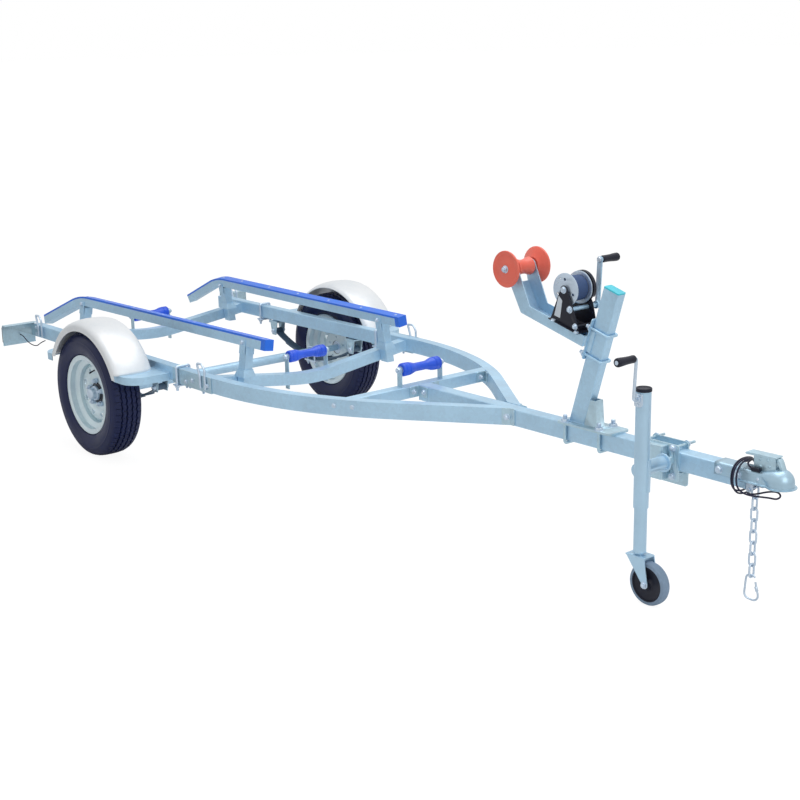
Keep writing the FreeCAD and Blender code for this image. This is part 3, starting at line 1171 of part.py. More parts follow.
# ---------------------------------------------------------------- assembly
def main():
    os.makedirs("parts", exist_ok=True)
    nodes = {}
    sides = {"left": lambda s: s, "right": mirrored}

    drawbar_rear = CROSS_FRONT_X + CROSS_S / 2
    nodes["drawbar"] = tube_x(drawbar_rear, DRAWBAR_FRONT_X, -DRAWBAR_W / 2, DRAWBAR_W / 2,
                              RAIL_BOTTOM, RAIL_TOP, RAIL_WALL)
    half = CROSS_S / 2
    front = box(CROSS_FRONT_X - half, CROSS_FRONT_X + half, -RAIL_OUTER_Y, RAIL_OUTER_Y, RAIL_TOP - CROSS_S, RAIL_TOP)
    front = front.cut(box(CROSS_FRONT_X - half + RAIL_WALL, CROSS_FRONT_X + half - RAIL_WALL, -RAIL_OUTER_Y - 1, RAIL_OUTER_Y + 1,
                          RAIL_TOP - CROSS_S + RAIL_WALL, RAIL_TOP - RAIL_WALL))
    nodes["cross_member_front"] = front.common(between_rails(RAIL_BOTTOM, RAIL_TOP))
    nodes["cross_member_middle"] = bowed_cross(CROSS_MIDDLE_X)
    nodes["cross_member_rear"] = bowed_cross(CROSS_REAR_X)
    nodes["axle_beam"] = axle()

    # pieces with a node of their own on each side
    for name, place in sides.items():
        nodes["rail_front_" + name] = place(front_rail())
        nodes["bunk_tube_" + name] = place(bunk_tube())
        nodes["bunk_strip_" + name] = place(bunk_strip())
        nodes["fender_" + name] = place(fender())
        nodes["tyre_" + name] = place(tyre())
        nodes["rim_" + name] = place(rim())
        nodes["hub_" + name] = place(hub())

    # small like pieces, left and right in one node
    nodes["rails_rear"] = both(rear_rail())
    nodes["rail_splices"] = both(splice_plate())
    nodes["bunk_posts"] = both(bunk_post(CROSS_MIDDLE_X, 0), bunk_post(CROSS_REAR_X, REAR_POST_LOWER))
    nodes["leaf_springs"] = both(leaf_spring())
    nodes["spring_hangers"] = both(hanger(-SPRING_EYE_X), hanger(SPRING_EYE_X))
    nodes["axle_clamps"] = both(axle_clamp())
    nodes["fender_brackets"] = both(*fender_brackets())
    nodes["lamp_brackets"] = both(lamp_bracket())
    nodes["tail_lamps"] = both(lamp())
    nodes["tie_loops"] = both(tie_loop(TIE_FRONT_X), tie_loop(TIE_REAR_X))

    # keel rollers: name, x, axle height, foot of the bars
    rollers = [("front", CROSS_FRONT_X, RAIL_TOP + 68, RAIL_TOP),
               ("middle", CROSS_MIDDLE_X - CROSS_S / 2 - BRACKET_W / 2, RAIL_TOP - 2, 325),
               ("rear", CROSS_REAR_X - CROSS_S / 2 - BRACKET_W / 2, RAIL_TOP - 6, 320)]
    nodes["roller_brackets"] = group(*[roller_bracket(x, z, foot) for _, x, z, foot in rollers])
    for name, x, z, foot in rollers:
        nodes["keel_roller_" + name] = keel_roller(x, z)

    nodes["winch_post"] = winch_post()
    nodes["winch_post_base"] = post_base()
    nodes["winch_post_cap"] = post_cap()
    nodes["winch_arm"] = winch_arm()
    nodes["bow_roller"] = fuse(bow_bell(-1), bow_bell(1), bow_spool(), bow_bolt())
    nodes["winch_frame"] = winch_frame()
    nodes["winch_drum"] = winch_drum()
    nodes["winch_strap"] = winch_strap()
    nodes["winch_crank"] = winch_crank()
    nodes["winch_grip"] = winch_grip()

    nodes["jack_mount"] = jack_mount()
    nodes["jack_tube"] = jack_tube()
    nodes["jack_cap"] = jack_cap()
    nodes["jack_crank"] = jack_crank()
    nodes["jack_grip"] = jack_grip()
    nodes["jack_leg"] = jack_leg()
    nodes["caster_fork"] = caster_fork()
    nodes["jockey_wheel"] = jockey_wheel()

    nodes["coupler"], nodes["coupler_head"] = coupler()
    nodes["coupler_latch"] = coupler_latch()
    nodes["safety_chain"] = chain()
    nodes["chain_hook"] = chain_hook()
    nodes["coupler_cable"] = cord("coupler cable", CABLE_POINTS, CABLE_D)
    nodes["cable_plug"] = cable_plug()
    nodes["wire_left"] = lamp_wire()
    nodes["wire_right"] = mirrored(lamp_wire())

    for name, shape in nodes.items():
        shape.translate(V(-MIDDLE_X, 0, 0))
        shape.exportStep("parts/" + name + ".step")
        print(name, len(shape.Solids), shape.isValid(), round(shape.Volume / 1000), "cm3")


main()
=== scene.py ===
# %% [markdown]
# # A boat trailer, dressed from its solids
#
# The solids were made first, in a CAD program, and this lesson gives them the looks of
# galvanised steel, rubber and moulded plastic. Every place below is in metres, in the same
# frame as the solids: +X runs towards the coupler, +Y to the trailer's left and +Z up.

# %% Load the solids
import json
import math

import bmesh
import bpy
import numpy as np
from mathutils import Matrix, Vector

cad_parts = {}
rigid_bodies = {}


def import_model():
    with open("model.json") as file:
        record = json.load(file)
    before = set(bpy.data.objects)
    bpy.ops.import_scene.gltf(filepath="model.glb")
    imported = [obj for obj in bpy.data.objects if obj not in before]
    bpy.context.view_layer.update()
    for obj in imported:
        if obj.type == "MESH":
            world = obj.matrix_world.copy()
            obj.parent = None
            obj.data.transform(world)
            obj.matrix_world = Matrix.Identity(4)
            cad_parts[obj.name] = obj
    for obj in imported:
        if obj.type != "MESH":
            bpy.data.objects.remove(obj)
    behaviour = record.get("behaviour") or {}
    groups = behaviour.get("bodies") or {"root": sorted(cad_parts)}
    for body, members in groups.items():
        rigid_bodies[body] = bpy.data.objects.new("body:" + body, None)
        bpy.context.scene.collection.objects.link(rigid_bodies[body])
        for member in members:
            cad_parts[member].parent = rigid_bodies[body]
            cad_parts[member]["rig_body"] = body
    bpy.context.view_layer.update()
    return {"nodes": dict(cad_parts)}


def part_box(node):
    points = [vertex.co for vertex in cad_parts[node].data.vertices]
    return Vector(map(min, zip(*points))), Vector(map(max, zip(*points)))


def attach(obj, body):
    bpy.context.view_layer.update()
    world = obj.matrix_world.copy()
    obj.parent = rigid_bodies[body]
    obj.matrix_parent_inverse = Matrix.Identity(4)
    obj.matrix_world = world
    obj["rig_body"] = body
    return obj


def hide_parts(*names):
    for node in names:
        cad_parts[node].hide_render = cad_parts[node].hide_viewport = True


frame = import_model()

# %% [markdown]
# ## Places that the rest is measured from
#
# The trailer was drawn with its axle at zero, so most numbers below are easiest to read from
# the axle. One constant moves them into the frame of the solids. X, Y and Z name the three
# directions, so that the trailer's right is written -Y.

# %% The axle and the wheels
def middle(node):
    """The middle of a node's box: half of its lowest corner plus its highest corner."""
    low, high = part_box(node)
    return np.array((low + high) / 2)


AXLE_X = middle("axle_beam")[0]
FROM_AXLE = np.array([AXLE_X, 0.0, 0.0])
WHEEL = middle("tyre_left")
X, Y, Z = np.eye(3)
MM = 0.001
SIDES = (("left", 1), ("right", -1))
print("axle at x", round(AXLE_X, 4), "left wheel", WHEEL.round(3))

# %% [markdown]
# ## The camera
#
# A low view from the front right, a little above the coupler. The camera's own three
# directions are worked out from its bearing, its height angle and a slight roll.

# %% Camera
def linked(name, data):
    """A new object of the scene that holds the data."""
    made = bpy.data.objects.new(name, data)
    bpy.context.scene.collection.objects.link(made)
    return made


def matrix(x_way, y_way, z_way, origin):
    """The matrix whose columns are three directions and a place."""
    return Matrix([*np.column_stack([x_way, y_way, z_way, origin]).tolist(), [0, 0, 0, 1]])


BEARING = math.radians(50.248)
HEIGHT = math.radians(14.434)
ROLL = math.radians(-1.156)
EYE = FROM_AXLE + [5.5667, -3.5203, 1.7908]

right = np.array([math.cos(BEARING), math.sin(BEARING), 0.0])
back = np.array([math.sin(BEARING) * math.cos(HEIGHT), -math.cos(BEARING) * math.cos(HEIGHT),
                 math.sin(HEIGHT)])
up = np.cross(back, right)
rolled_right = right * math.cos(ROLL) + up * math.sin(ROLL)
rolled_up = up * math.cos(ROLL) - right * math.sin(ROLL)

camera_data = bpy.data.cameras.new("camera")
camera_data.sensor_width = 36.0
camera_data.lens = 61.55
camera = linked("camera", camera_data)
camera.matrix_world = matrix(rolled_right, rolled_up, back, EYE)
bpy.context.scene.camera = camera
print("camera at", EYE.round(3), "looks along", (-back).round(3))

# %% [markdown]
# ## Shader sums written as Python
#
# A material is a tree of nodes. Wiring them by hand hides the formula, so a small class
# wraps a node's output and lets it be added or multiplied like a number. Each operator adds
# one Math node. All other nodes come from one method.

# %% The Wire and Finish classes
class Wire:
    """One output of a node. Sums on it add Math nodes."""

    def __init__(self, finish, socket):
        self.finish = finish
        self.socket = socket

    def math(self, operation, *others):
        return self.finish.node("ShaderNodeMath", {"operation": operation}, dict(enumerate([self, *others])))

    def __add__(self, other):
        return self.math("ADD", other)

    def __sub__(self, other):
        return self.math("SUBTRACT", other)

    def __mul__(self, other):
        return self.math("MULTIPLY", other)

    __radd__ = __add__


class Tree:
    """A tree of nodes, and the one method that adds a node to it."""

    def __init__(self, tree):
        self.tree = tree

    def plug(self, socket, value):
        if isinstance(value, Wire):
            self.tree.links.new(value.socket, socket)
        else:
            socket.default_value = value

    def node(self, kind, settings, sockets, out=0):
        """Adds a node: its settings first, then the value or the link of each socket."""
        node = self.tree.nodes.new(kind)
        for key, value in settings.items():
            setattr(node, key, value)
        for key, value in sockets.items():
            self.plug(node.inputs[key], value)
        return Wire(self, node.outputs[out])


class Finish(Tree):
    """A material: constants sit on the shader's own sockets, and what varies is plugged in. The slot, the
    record's word for what the piece is made of, is stored but not used."""

    def __init__(self, name, slot, colour, **constants):
        self.slot = slot
        self.material = bpy.data.materials.new(name)
        self.material.use_nodes = True
        self.material.diffuse_color = (*colour, 1)
        super().__init__(self.material.node_tree)
        self.shader = self.tree.nodes["Principled BSDF"]
        self.set("Base Color", (*colour, 1))
        for key, value in constants.items():
            self.set(key.replace("_", " ").title().replace("Ior", "IOR"), value)

    def set(self, socket, value):
        self.plug(self.shader.inputs[socket], value)

    def place(self, scale=(1, 1, 1)):
        """The piece's own coordinates, stretched by scale."""
        source = self.node("ShaderNodeTexCoord", {}, {}, "Object")
        return self.node("ShaderNodeMapping", {}, {"Vector": source, "Scale": scale})

    def noise(self, scale, detail, where=None):
        return self.node("ShaderNodeTexNoise", {}, {"Vector": where or self.place(), "Scale": scale,
                                                    "Detail": detail, "Roughness": 0.55})

    def between(self, wire, low, high, to_low=0.0, to_high=1.0):
        """The wire's value, stretched from low..high to to_low..to_high and held inside."""
        return self.node("ShaderNodeMapRange", {}, {0: wire, 1: low, 2: high, 3: to_low, 4: to_high})

    def blend(self, share, first, second):
        """Colour first where share is 0, second where it is 1."""
        return self.node("ShaderNodeMix", {"data_type": "RGBA"}, {0: share, 6: first, 7: second}, 2)

    def bump(self, height, distance, strength):
        return self.node("ShaderNodeBump", {}, {"Height": height, "Distance": distance, "Strength": strength})


BRIGHTEST = 0.95


def rgb(red, green, blue):
    """A screen colour, 0 to 255, as the linear colour that a shader takes: ((c + 0.055) / 1.055) ** 2.4."""
    share = np.array([red, green, blue]) / 255
    return tuple(np.where(share > 0.04045, ((share + 0.055) / 1.055) ** 2.4, share / 12.92).round(4))


def shade(colour, factor):
    """The colour times the factor, held under BRIGHTEST, because no surface gives back all its light."""
    return (*[min(c * factor, BRIGHTEST) for c in colour], 1)


# %% [markdown]
# ## Galvanised steel
#
# Hot-dip zinc freezes in flat crystals, the spangle, each a shade of its own. Over that lie
# soft clouds where the bath ran off. Cells of a Voronoi texture give the crystals, noise the
# clouds, and both reach the colour and the roughness only a little, as on new steel.

# %% Steel finishes
def galvanised(name, slot, colour, roughness, metallic, spangle, relief=0.35):
    finish = Finish(name, slot, colour, metallic=metallic, ior=1.5)
    cells = finish.node("ShaderNodeTexVoronoi", {}, {"Vector": finish.place(), "Scale": 90.0}, "Color")
    grey = finish.node("ShaderNodeSeparateColor", {}, {"Color": cells})
    cloud = finish.between(finish.noise(7.0, 4.0), 0.35, 0.7)
    streak = finish.between(finish.noise(3.0, 5.0, finish.place((1, 1, 6))), 0.4, 0.75)
    tone = 0.5 + (grey - 0.5) * spangle + (cloud - 0.5) * 0.35 - streak * 0.12
    share = finish.between(tone, 0.0, 1.0)
    finish.set("Base Color", finish.blend(share, shade(colour, 0.86), shade(colour, 1.12)))
    dull = grey * 0.5 + cloud * 0.5
    finish.set("Roughness", finish.between(dull, 0.0, 1.0, roughness - 0.06, roughness + 0.10))
    fine = finish.noise(260.0, 2.0)
    finish.set("Normal", finish.bump(fine * 0.4 + cloud * 1.0, 0.0006, relief))
    return finish


galvanised_tube = galvanised("galvanised_tube", "galvanised_steel", rgb(181, 215, 239), 0.42, 0.50, 0.30)
galvanised_plate = galvanised("galvanised_plate", "galvanised_steel", rgb(184, 212, 226), 0.36, 0.60,
                              0.45, 0.2)
pressed_fender = galvanised("pressed_fender", "galvanised_steel", rgb(238, 246, 253), 0.35, 0.25, 0.12, 0.2)
bright_zinc = galvanised("bright_zinc", "zinc_steel", rgb(204, 220, 236), 0.35, 0.75, 0.12, 0.10)
wheel_silver = galvanised("wheel_silver", "", rgb(220, 236, 248), 0.35, 0.55, 0.10, 0.12)
spring_steel = galvanised("spring_steel", "dark_steel", rgb(82, 104, 124), 0.46, 0.4, 0.10)
jack_steel = galvanised("jack_steel", "zinc_steel", rgb(182, 214, 236), 0.35, 0.55, 0.06, 0.06)
coupler_steel = galvanised("coupler_steel", "galvanised_steel", rgb(176, 206, 224), 0.35, 0.60, 0.10, 0.12)
print("steel finishes", 8)

# %% [markdown]
# ## Plastics, rubber and webbing
#
# Moulded plastic has a very fine grain and shallow scuffs. Rubber is duller and has a bloom
# of dust that lightens it in soft patches.

# %% Moulded finishes
def moulded(name, slot, colour, roughness, grain, scuff=0.25, **constants):
    finish = Finish(name, slot, colour, **constants)
    cloud = finish.between(finish.noise(14.0, 4.0), 0.35, 0.7)
    scratch = finish.between(finish.noise(60.0, 5.0, finish.place((1, 8, 1))), 0.55, 0.72)
    worn = cloud * 0.6 + scratch * scuff
    finish.set("Base Color", finish.blend(worn, shade(colour, 0.88), shade(colour, 1.22)))
    dull = cloud + scratch * 0.6
    finish.set("Roughness", finish.between(dull, 0.0, 1.4, roughness - 0.05, roughness + 0.12))
    finish.set("Normal", finish.bump(finish.noise(grain, 3.0) + scratch * 0.2, 0.0003, 0.25))
    return finish


blue_plastic = moulded("blue_plastic", "", rgb(34, 118, 250), 0.40, 420.0)
roller_blue = moulded("roller_blue", "blue_plastic", rgb(30, 92, 240), 0.32, 300.0, coat_weight=0.2)
orange_roller = moulded("orange_roller", "bow_rubber", rgb(255, 112, 92), 0.40, 240.0, 0.12, coat_weight=0.2)
turquoise_cap = moulded("turquoise_cap", "", rgb(76, 214, 236), 0.38, 300.0)
black_plastic = moulded("black_plastic", "black_plastic", rgb(20, 24, 42), 0.42, 500.0, ior=1.38)
black_paint = moulded("black_paint", "black_paint", rgb(18, 21, 38), 0.34, 260.0, 0.15, ior=1.42)
cable_rubber = moulded("cable_rubber", "rubber_cable", rgb(22, 22, 54), 0.36, 700.0, ior=1.4)
tyre_rubber = moulded("tyre_rubber", "tyre", rgb(24, 34, 76), 0.40, 380.0, 0.3, ior=1.36)
jockey_rubber = moulded("jockey_rubber", "black_plastic", rgb(132, 154, 178), 0.62, 200.0, 0.9, ior=1.38)
red_lens = moulded("red_lens", "red_lens", rgb(190, 24, 26), 0.16, 90.0, 0.0, coat_weight=0.5)
webbing = moulded("webbing", "strap_webbing", rgb(58, 82, 124), 0.75, 900.0, 0.1)
pale_label = moulded("pale_label", "", rgb(214, 224, 236), 0.5, 300.0, 0.05)
print("moulded finishes", 12)

# %% [markdown]
# ## Cords come before anything else
#
# The breakaway cable is a limp cord that was wound twice round the coupler, and one short
# wire runs to each lamp. Each is one smooth NURBS line through listed control points,
# which cuts inside its corners as a soft cord does.

# %% Cord routes, measured from the axle
CABLE_ROUTE = [
    (2.938, 0.0303, 0.440), (2.938, 0.088, 0.440), (2.990, 0.104, 0.452), (3.036, 0.074, 0.480),
    (3.044, 0.026, 0.497), (3.046, -0.024, 0.497), (3.047, -0.056, 0.476), (3.048, -0.064, 0.434),
    (3.049, -0.046, 0.400), (3.050, 0.0, 0.389), (3.051, 0.046, 0.400), (3.052, 0.064, 0.434),
    (3.053, 0.058, 0.474), (3.054, 0.026, 0.497), (3.056, -0.024, 0.499), (3.057, -0.060, 0.478),
    (3.058, -0.070, 0.434), (3.059, -0.050, 0.394), (3.060, 0.0, 0.382), (3.061, 0.050, 0.394),
    (3.062, 0.070, 0.434), (3.063, 0.060, 0.474), (3.064, 0.026, 0.497), (3.065, -0.024, 0.498),
    (3.067, -0.056, 0.478), (3.069, -0.066, 0.440), (3.076, -0.060, 0.410), (3.104, -0.050, 0.398),
    (3.150, -0.044, 0.402), (3.186, -0.044, 0.407), (3.208, -0.044, 0.4075), (3.220, -0.037, 0.418),
    (3.204, -0.029, 0.428), (3.164, -0.026, 0.419), (3.112, -0.024, 0.396), (3.080, -0.022, 0.392),
    (3.073, 0.006, 0.390), (3.077, 0.048, 0.400), (3.077, 0.068, 0.438), (3.076, 0.060, 0.476),
    (3.075, 0.028, 0.498), (3.075, 0.0, 0.4985), (3.080, -0.027, 0.491), (3.0986, -0.028, 0.483),
]
RAIL_SIDE = 0.574
WIRE_ROUTE = [
    (-0.8967, 0.066, 0.422), (-0.866, 0.066, 0.422), (-0.846, 0.056, 0.393), (-0.820, 0.042, 0.375),
    (-0.788, 0.030, 0.372), (-0.757, 0.024, 0.394), (-0.750, 0.0012, 0.402),
]


def cord_curve(name, route, diameter):
    """A NURBS curve of order 3 with the route as its control points and a round bevel."""
    data = bpy.data.curves.new(name, "CURVE")
    data.dimensions = "3D"
    data.bevel_depth = diameter / 2
    data.bevel_resolution = 4
    data.resolution_u = 12
    data.use_fill_caps = True
    spline = data.splines.new("NURBS")
    spline.points.add(len(route) - 1)
    places = np.array(route) + FROM_AXLE
    spline.points.foreach_set("co", np.column_stack([places, np.ones(len(places))]).ravel())
    spline.order_u = 3
    spline.use_endpoint_u = True
    line = linked(name, data)
    data.materials.append(cable_rubber.material)
    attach(line, "frame")
    return line, places


cable, cable_places = cord_curve("breakaway_cable", CABLE_ROUTE, 0.006)
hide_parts("coupler_cable")
print("cable control points", len(CABLE_ROUTE))

for side, sign in SIDES:
    route = [(x, sign * (RAIL_SIDE + y), z) for x, y, z in WIRE_ROUTE]
    wire, wire_places = cord_curve("lamp_wire_" + side, route, 0.005)
    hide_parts("wire_" + side)
    print("lamp wire", side, "control points", len(route))

# %% [markdown]
# ## Builders for new pieces
#
# Every new piece below is worked out with arrays: a grid of points, each a formula of its row
# and column. One helper turns a grid into faces, and others make the shapes that workshops
# make: turned on a lathe, bent from rod, or carried along a path. All are measured in
# millimetres from the axle's middle on the floor, and moved into place at the end.

# %% Grids, paths and the lathe
def unit(vectors):
    """Each vector divided by its own length."""
    vectors = np.asarray(vectors, float)
    return vectors / np.linalg.norm(vectors, axis=-1, keepdims=True)


def around(count):
    """So many angles, evenly spaced round a circle."""
    return np.linspace(0, 2 * np.pi, count, endpoint=False)


def grid(x, y, z):
    """Points whose x, y and z are three arrays, each stretched to the others' rows and columns."""
    return np.stack(np.broadcast_arrays(x, y, z), -1)


def leaning(angle):
    """The way up, leaned forward by the angle: sine along X, cosine along Z."""
    return math.sin(angle) * X + math.cos(angle) * Z


def quads(points, wrap_rows=False, wrap_cols=False):
    """Corners and four-sided faces of a grid. A wrapped direction joins its last line to its first."""
    rows, cols = points.shape[:2]
    index = np.arange(rows * cols).reshape(rows, cols)
    if wrap_rows:
        index = np.vstack([index, index[:1]])
    if wrap_cols:
        index = np.hstack([index, index[:, :1]])
    faces = np.stack([index[:-1, :-1], index[1:, :-1], index[1:, 1:], index[:-1, 1:]], -1)
    return points.reshape(-1, 3), faces.reshape(-1, 4)


def across(direction):
    """Two unit vectors square to a direction and to each other, and the direction itself."""
    w = unit(direction)
    start = X if abs(w[0]) < 0.9 else Z
    v = unit(np.cross(w, start))
    return np.cross(v, w), v, w


def smooth(points, steps=6):
    """A Catmull-Rom curve: a cubic between two points. Its slope at each is half the way between the
    point's neighbours."""
    p = np.asarray(points, float)
    p = np.vstack([2 * p[0] - p[1], p, 2 * p[-1] - p[-2]])
    t = np.linspace(0, 1, steps, endpoint=False)[None, :, None]
    a, b, c, d = p[:-3, None], p[1:-2, None], p[2:-1, None], p[3:, None]
    line = 0.5 * (2 * b + (c - a) * t + (2 * a - 5 * b + 4 * c - d) * t ** 2
                  + (3 * b - a - 3 * c + d) * t ** 3)
    return np.vstack([line.reshape(-1, p.shape[1]), p[-2]])


def bent(points, radius, steps=8, closed=False):
    """Straight runs whose corners are parabolas that start and end a radius away from the corner."""
    p = np.asarray(points, float)
    if closed:
        before, corner, after = np.roll(p, 1, 0), p, np.roll(p, -1, 0)
    else:
        before, corner, after = p[:-2], p[1:-1], p[2:]
    start = corner + unit(before - corner) * radius
    end = corner + unit(after - corner) * radius
    t = np.linspace(0, 1, steps)[None, :, None]
    arc = (1 - t) ** 2 * start[:, None] + 2 * t * (1 - t) * corner[:, None] + t ** 2 * end[:, None]
    arc = arc.reshape(-1, p.shape[1])
    return arc if closed else np.vstack([p[:1], arc, p[-1:]])


def panel(start, end, corner, steps=4):
    """A rectangle with rounded corners between two opposite ones. It rises along their last unlike axis."""
    start, end = np.array([start, end], float)
    rise = np.flatnonzero(start != end)[-1]
    foot, head = end.copy(), start.copy()
    foot[rise], head[rise] = start[rise], end[rise]
    return bent([start, foot, end, head], corner, steps, closed=True)


def lathe(profile, centre, direction, turns, hexagon=0):
    """Rows of (along, radius) turned about an axis. With hexagon, the distance across flats, no radius is
    more than the hexagon's own at that angle, which cuts flats as a mill does."""
    profile = np.asarray(profile, float)
    u, v, w = across(direction)
    angle = around(turns)
    radius = np.repeat(profile[:, 1:2], turns, 1)
    if hexagon:
        radius = np.minimum(radius, hexagon / 2 / np.cos((angle + np.pi / 6) % (np.pi / 3) - np.pi / 6))
    ring = np.cos(angle)[:, None] * u + np.sin(angle)[:, None] * v
    points = np.asarray(centre, float) + profile[:, None, :1] * w + radius[:, :, None] * ring
    return quads(points, wrap_cols=True)


def carried(outline, rings):
    """An outline of (x, y, z) points repeated once for each ring of (share, shift): share scales it about
    its own middle and shift moves it. A share of 0 closes an end to a point."""
    outline = np.asarray(outline, float)
    core = outline.mean(0)
    rows = np.stack([core + share * (outline - core) + shift for share, shift in rings])
    return quads(rows, wrap_cols=True)


def slab(outline, normal, thick, edge):
    """A flat plate from an outline of points, with a small chamfer all round, thick along the normal."""
    way = unit(normal) * thick
    outline = np.asarray(outline, float)
    less = 1 - edge / np.linalg.norm(outline - outline.mean(0), axis=1).mean()
    step = edge / thick
    rings = [(0, 0), (less, 0), (1, step), (1, 1 - step), (less, 1), (0, 1)]
    return carried(outline, [(share, way * level) for share, level in rings])


def side_plate(outline, y, thick, edge, corner=0, steps=4):
    """A slab whose outline of (x, z) points stands in the trailer's side view, from y towards the left."""
    line = [(x, y, z) for x, z in outline]
    return slab(bent(line, corner, steps, closed=True) if corner else line, Y, thick, edge)


def rod(path, radius, normal, sides, closed=False):
    """A bar on a flat path. Each ring lies in the plane of the path's normal and of the path's direction
    crossed with it."""
    path = np.asarray(path, float)
    n = unit(normal)
    size = np.full(len(path), float(radius))
    if closed:
        along = unit(np.roll(path, -1, 0) - np.roll(path, 1, 0))
    else:
        along = unit(np.gradient(path, axis=0))
        path = np.vstack([path[:1], path, path[-1:]])
        along = np.vstack([along[:1], along, along[-1:]])
        size = np.concatenate([[0], size, [0]])
    side = unit(np.cross(along, n))
    angle = around(sides)
    ring = np.cos(angle)[None, :, None] * n + np.sin(angle)[None, :, None] * side[:, None]
    points = path[:, None] + size[:, None, None] * ring
    return quads(points, wrap_rows=closed, wrap_cols=True)


def mirrored(part):
    """The same part on the trailer's other side: y changes its sign."""
    corners, faces = part
    return corners * np.array([1, -1, 1]), faces


def both_sides(parts):
    return parts + [mirrored(part) for part in parts]


# %% [markdown]
# ## From arrays to objects
#
# A piece is several parts in one mesh. The arrays go into the mesh whole, doubles are merged,
# and the faces are turned outwards before the piece is dressed and tied to its body.

# %% Objects from parts
def dressed(name, mesh, finish, body, replaces, sharp):
    """Shades a mesh with creases from the sharp angle on, gives it its finish and ties it to its body."""
    mesh.shade_smooth()
    mesh.set_sharp_from_angle(angle=math.radians(sharp))
    mesh.materials.clear()
    mesh.materials.append(finish.material)
    made = linked(name, mesh)
    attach(made, body)
    if replaces:
        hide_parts(*replaces)
    return made


def finished(name, mesh, finish, replaces=(), body="frame", sharp=38):
    """Merges doubles, turns the faces outwards and dresses the mesh."""
    work = bmesh.new()
    work.from_mesh(mesh)
    bmesh.ops.remove_doubles(work, verts=work.verts, dist=2e-6)
    bmesh.ops.dissolve_degenerate(work, edges=work.edges, dist=1e-6)
    bmesh.ops.recalc_face_normals(work, faces=work.faces)
    work.to_mesh(mesh)
    work.free()
    return dressed(name, mesh, finish, body, replaces, sharp)


def piece(name, parts, finish, replaces=(), body="frame", sharp=38):
    """One object from parts that are measured in millimetres from the axle."""
    counts = np.cumsum([0] + [len(corners) for corners, _ in parts])
    corners = np.vstack([corners for corners, _ in parts]) * MM + FROM_AXLE
    faces = np.vstack([faces + start for (_, faces), start in zip(parts, counts)])
    mesh = bpy.data.meshes.new(name)
    mesh.vertices.add(len(corners))
    mesh.vertices.foreach_set("co", corners.ravel())
    mesh.loops.add(faces.size)
    mesh.loops.foreach_set("vertex_index", faces.ravel().astype(np.int32))
    mesh.polygons.add(len(faces))
    mesh.polygons.foreach_set("loop_start", np.arange(0, faces.size, 4, dtype=np.int32))
    mesh.update(calc_edges=True)
    return finished(name, mesh, finish, replaces, body, sharp)


def sheet(made, thickness):
    """Gives a piece that is one sheet its thickness, inwards."""
    solid = made.modifiers.new("sheet", "SOLIDIFY")
    solid.thickness = thickness
    solid.offset = -1


# %% [markdown]
# ## Nuts, bolts and U-bolts
#
# The trailer is bolted together, and its nuts are what a visitor sees from a step away. A
# hexagon head is a turned cone with six flats milled on it, so the lathe helper makes it: the
# chamfer is where the cone is narrower than the hexagon. A thread is a zigzag profile.

# %% Fasteners
def nut(place, direction, flats, height):
    """A round washer and a hexagon head: its corner radius is the flats divided by the square root of 3."""
    base = height * 0.16
    washer = [(0, 0), (0, flats * 0.66), (base * 0.7, flats * 0.68), (base, flats * 0.65), (base, 0)]
    head = [(base * 0.9, 0), (base * 0.9, flats / math.sqrt(3)), (height * 0.82, flats / math.sqrt(3)),
            (height, flats * 0.47), (height, 0)]
    return [lathe(washer, place, direction, 24), lathe(head, place, direction, 24, flats)]


def thread(place, direction, radius, length, pitch=1.75):
    """A threaded end: the radius goes down and up by the thread's depth once each pitch, then a cone."""
    count = max(1, int(length / pitch))
    step = np.arange(2 * count + 1)
    rows = np.column_stack([step * length / (2 * count), np.where(step % 2, radius * 0.86, radius)])
    tip = length + radius * 0.3
    rows = np.vstack([[0, 0], rows, [tip, radius * 0.6], [tip, 0]])
    return lathe(rows, place, direction, 14)


def bolt(place, direction, flats, height, end=0):
    """A nut and, beyond it, so much of the bolt's thread."""
    parts = nut(place, direction, flats, height)
    if end:
        w = unit(direction)
        parts.append(thread(np.array(place) + w * height * 0.9, direction, flats * 0.32, end + height * 0.1))
    return parts


print("a bolt has", sum(len(faces) for _, faces in bolt((0, 0, 0), Z, 18, 9, 10)), "faces")

# %% [markdown]
# ## Steel pieces with softened edges
#
# A rolled tube never has a razor edge: its corners have a radius of several millimetres and
# catch the light as a thin bright line. A copy of each steel solid gets its doubles merged
# and its flat faces joined, and a Bevel modifier rounds its convex edges, long ones more.

# %% Softened copies
SHORT_RADIUS = 0.0008
LONG_FROM = 0.12
ROUNDED_FROM = math.radians(48)


def softened(node, finish, long_radius):
    """A copy of a solid whose convex edges are rounded, by long_radius where longer than LONG_FROM."""
    source = frame["nodes"][node]
    work = bmesh.new()
    work.from_mesh(source.data)
    bmesh.ops.remove_doubles(work, verts=work.verts, dist=1e-5)
    bmesh.ops.dissolve_limit(work, angle_limit=math.radians(0.6), verts=work.verts, edges=work.edges)
    weight = work.edges.layers.float.new("bevel_weight_edge")
    for edge in work.edges:
        if len(edge.link_faces) == 2 and edge.is_convex and edge.calc_face_angle() > ROUNDED_FROM:
            edge[weight] = 1 if edge.calc_length() > LONG_FROM else SHORT_RADIUS / long_radius
    mesh = bpy.data.meshes.new(node + "_soft")
    work.to_mesh(mesh)
    work.free()
    soft = dressed(node + "_soft", mesh, finish, source["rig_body"], [node], 42)
    bevel = soft.modifiers.new("edges", "BEVEL")
    bevel.width = long_radius
    bevel.segments = 3
    bevel.limit_method = "WEIGHT"
    bevel.miter_outer = "MITER_ARC"
    bevel.use_clamp_overlap = True
    bevel.harden_normals = True


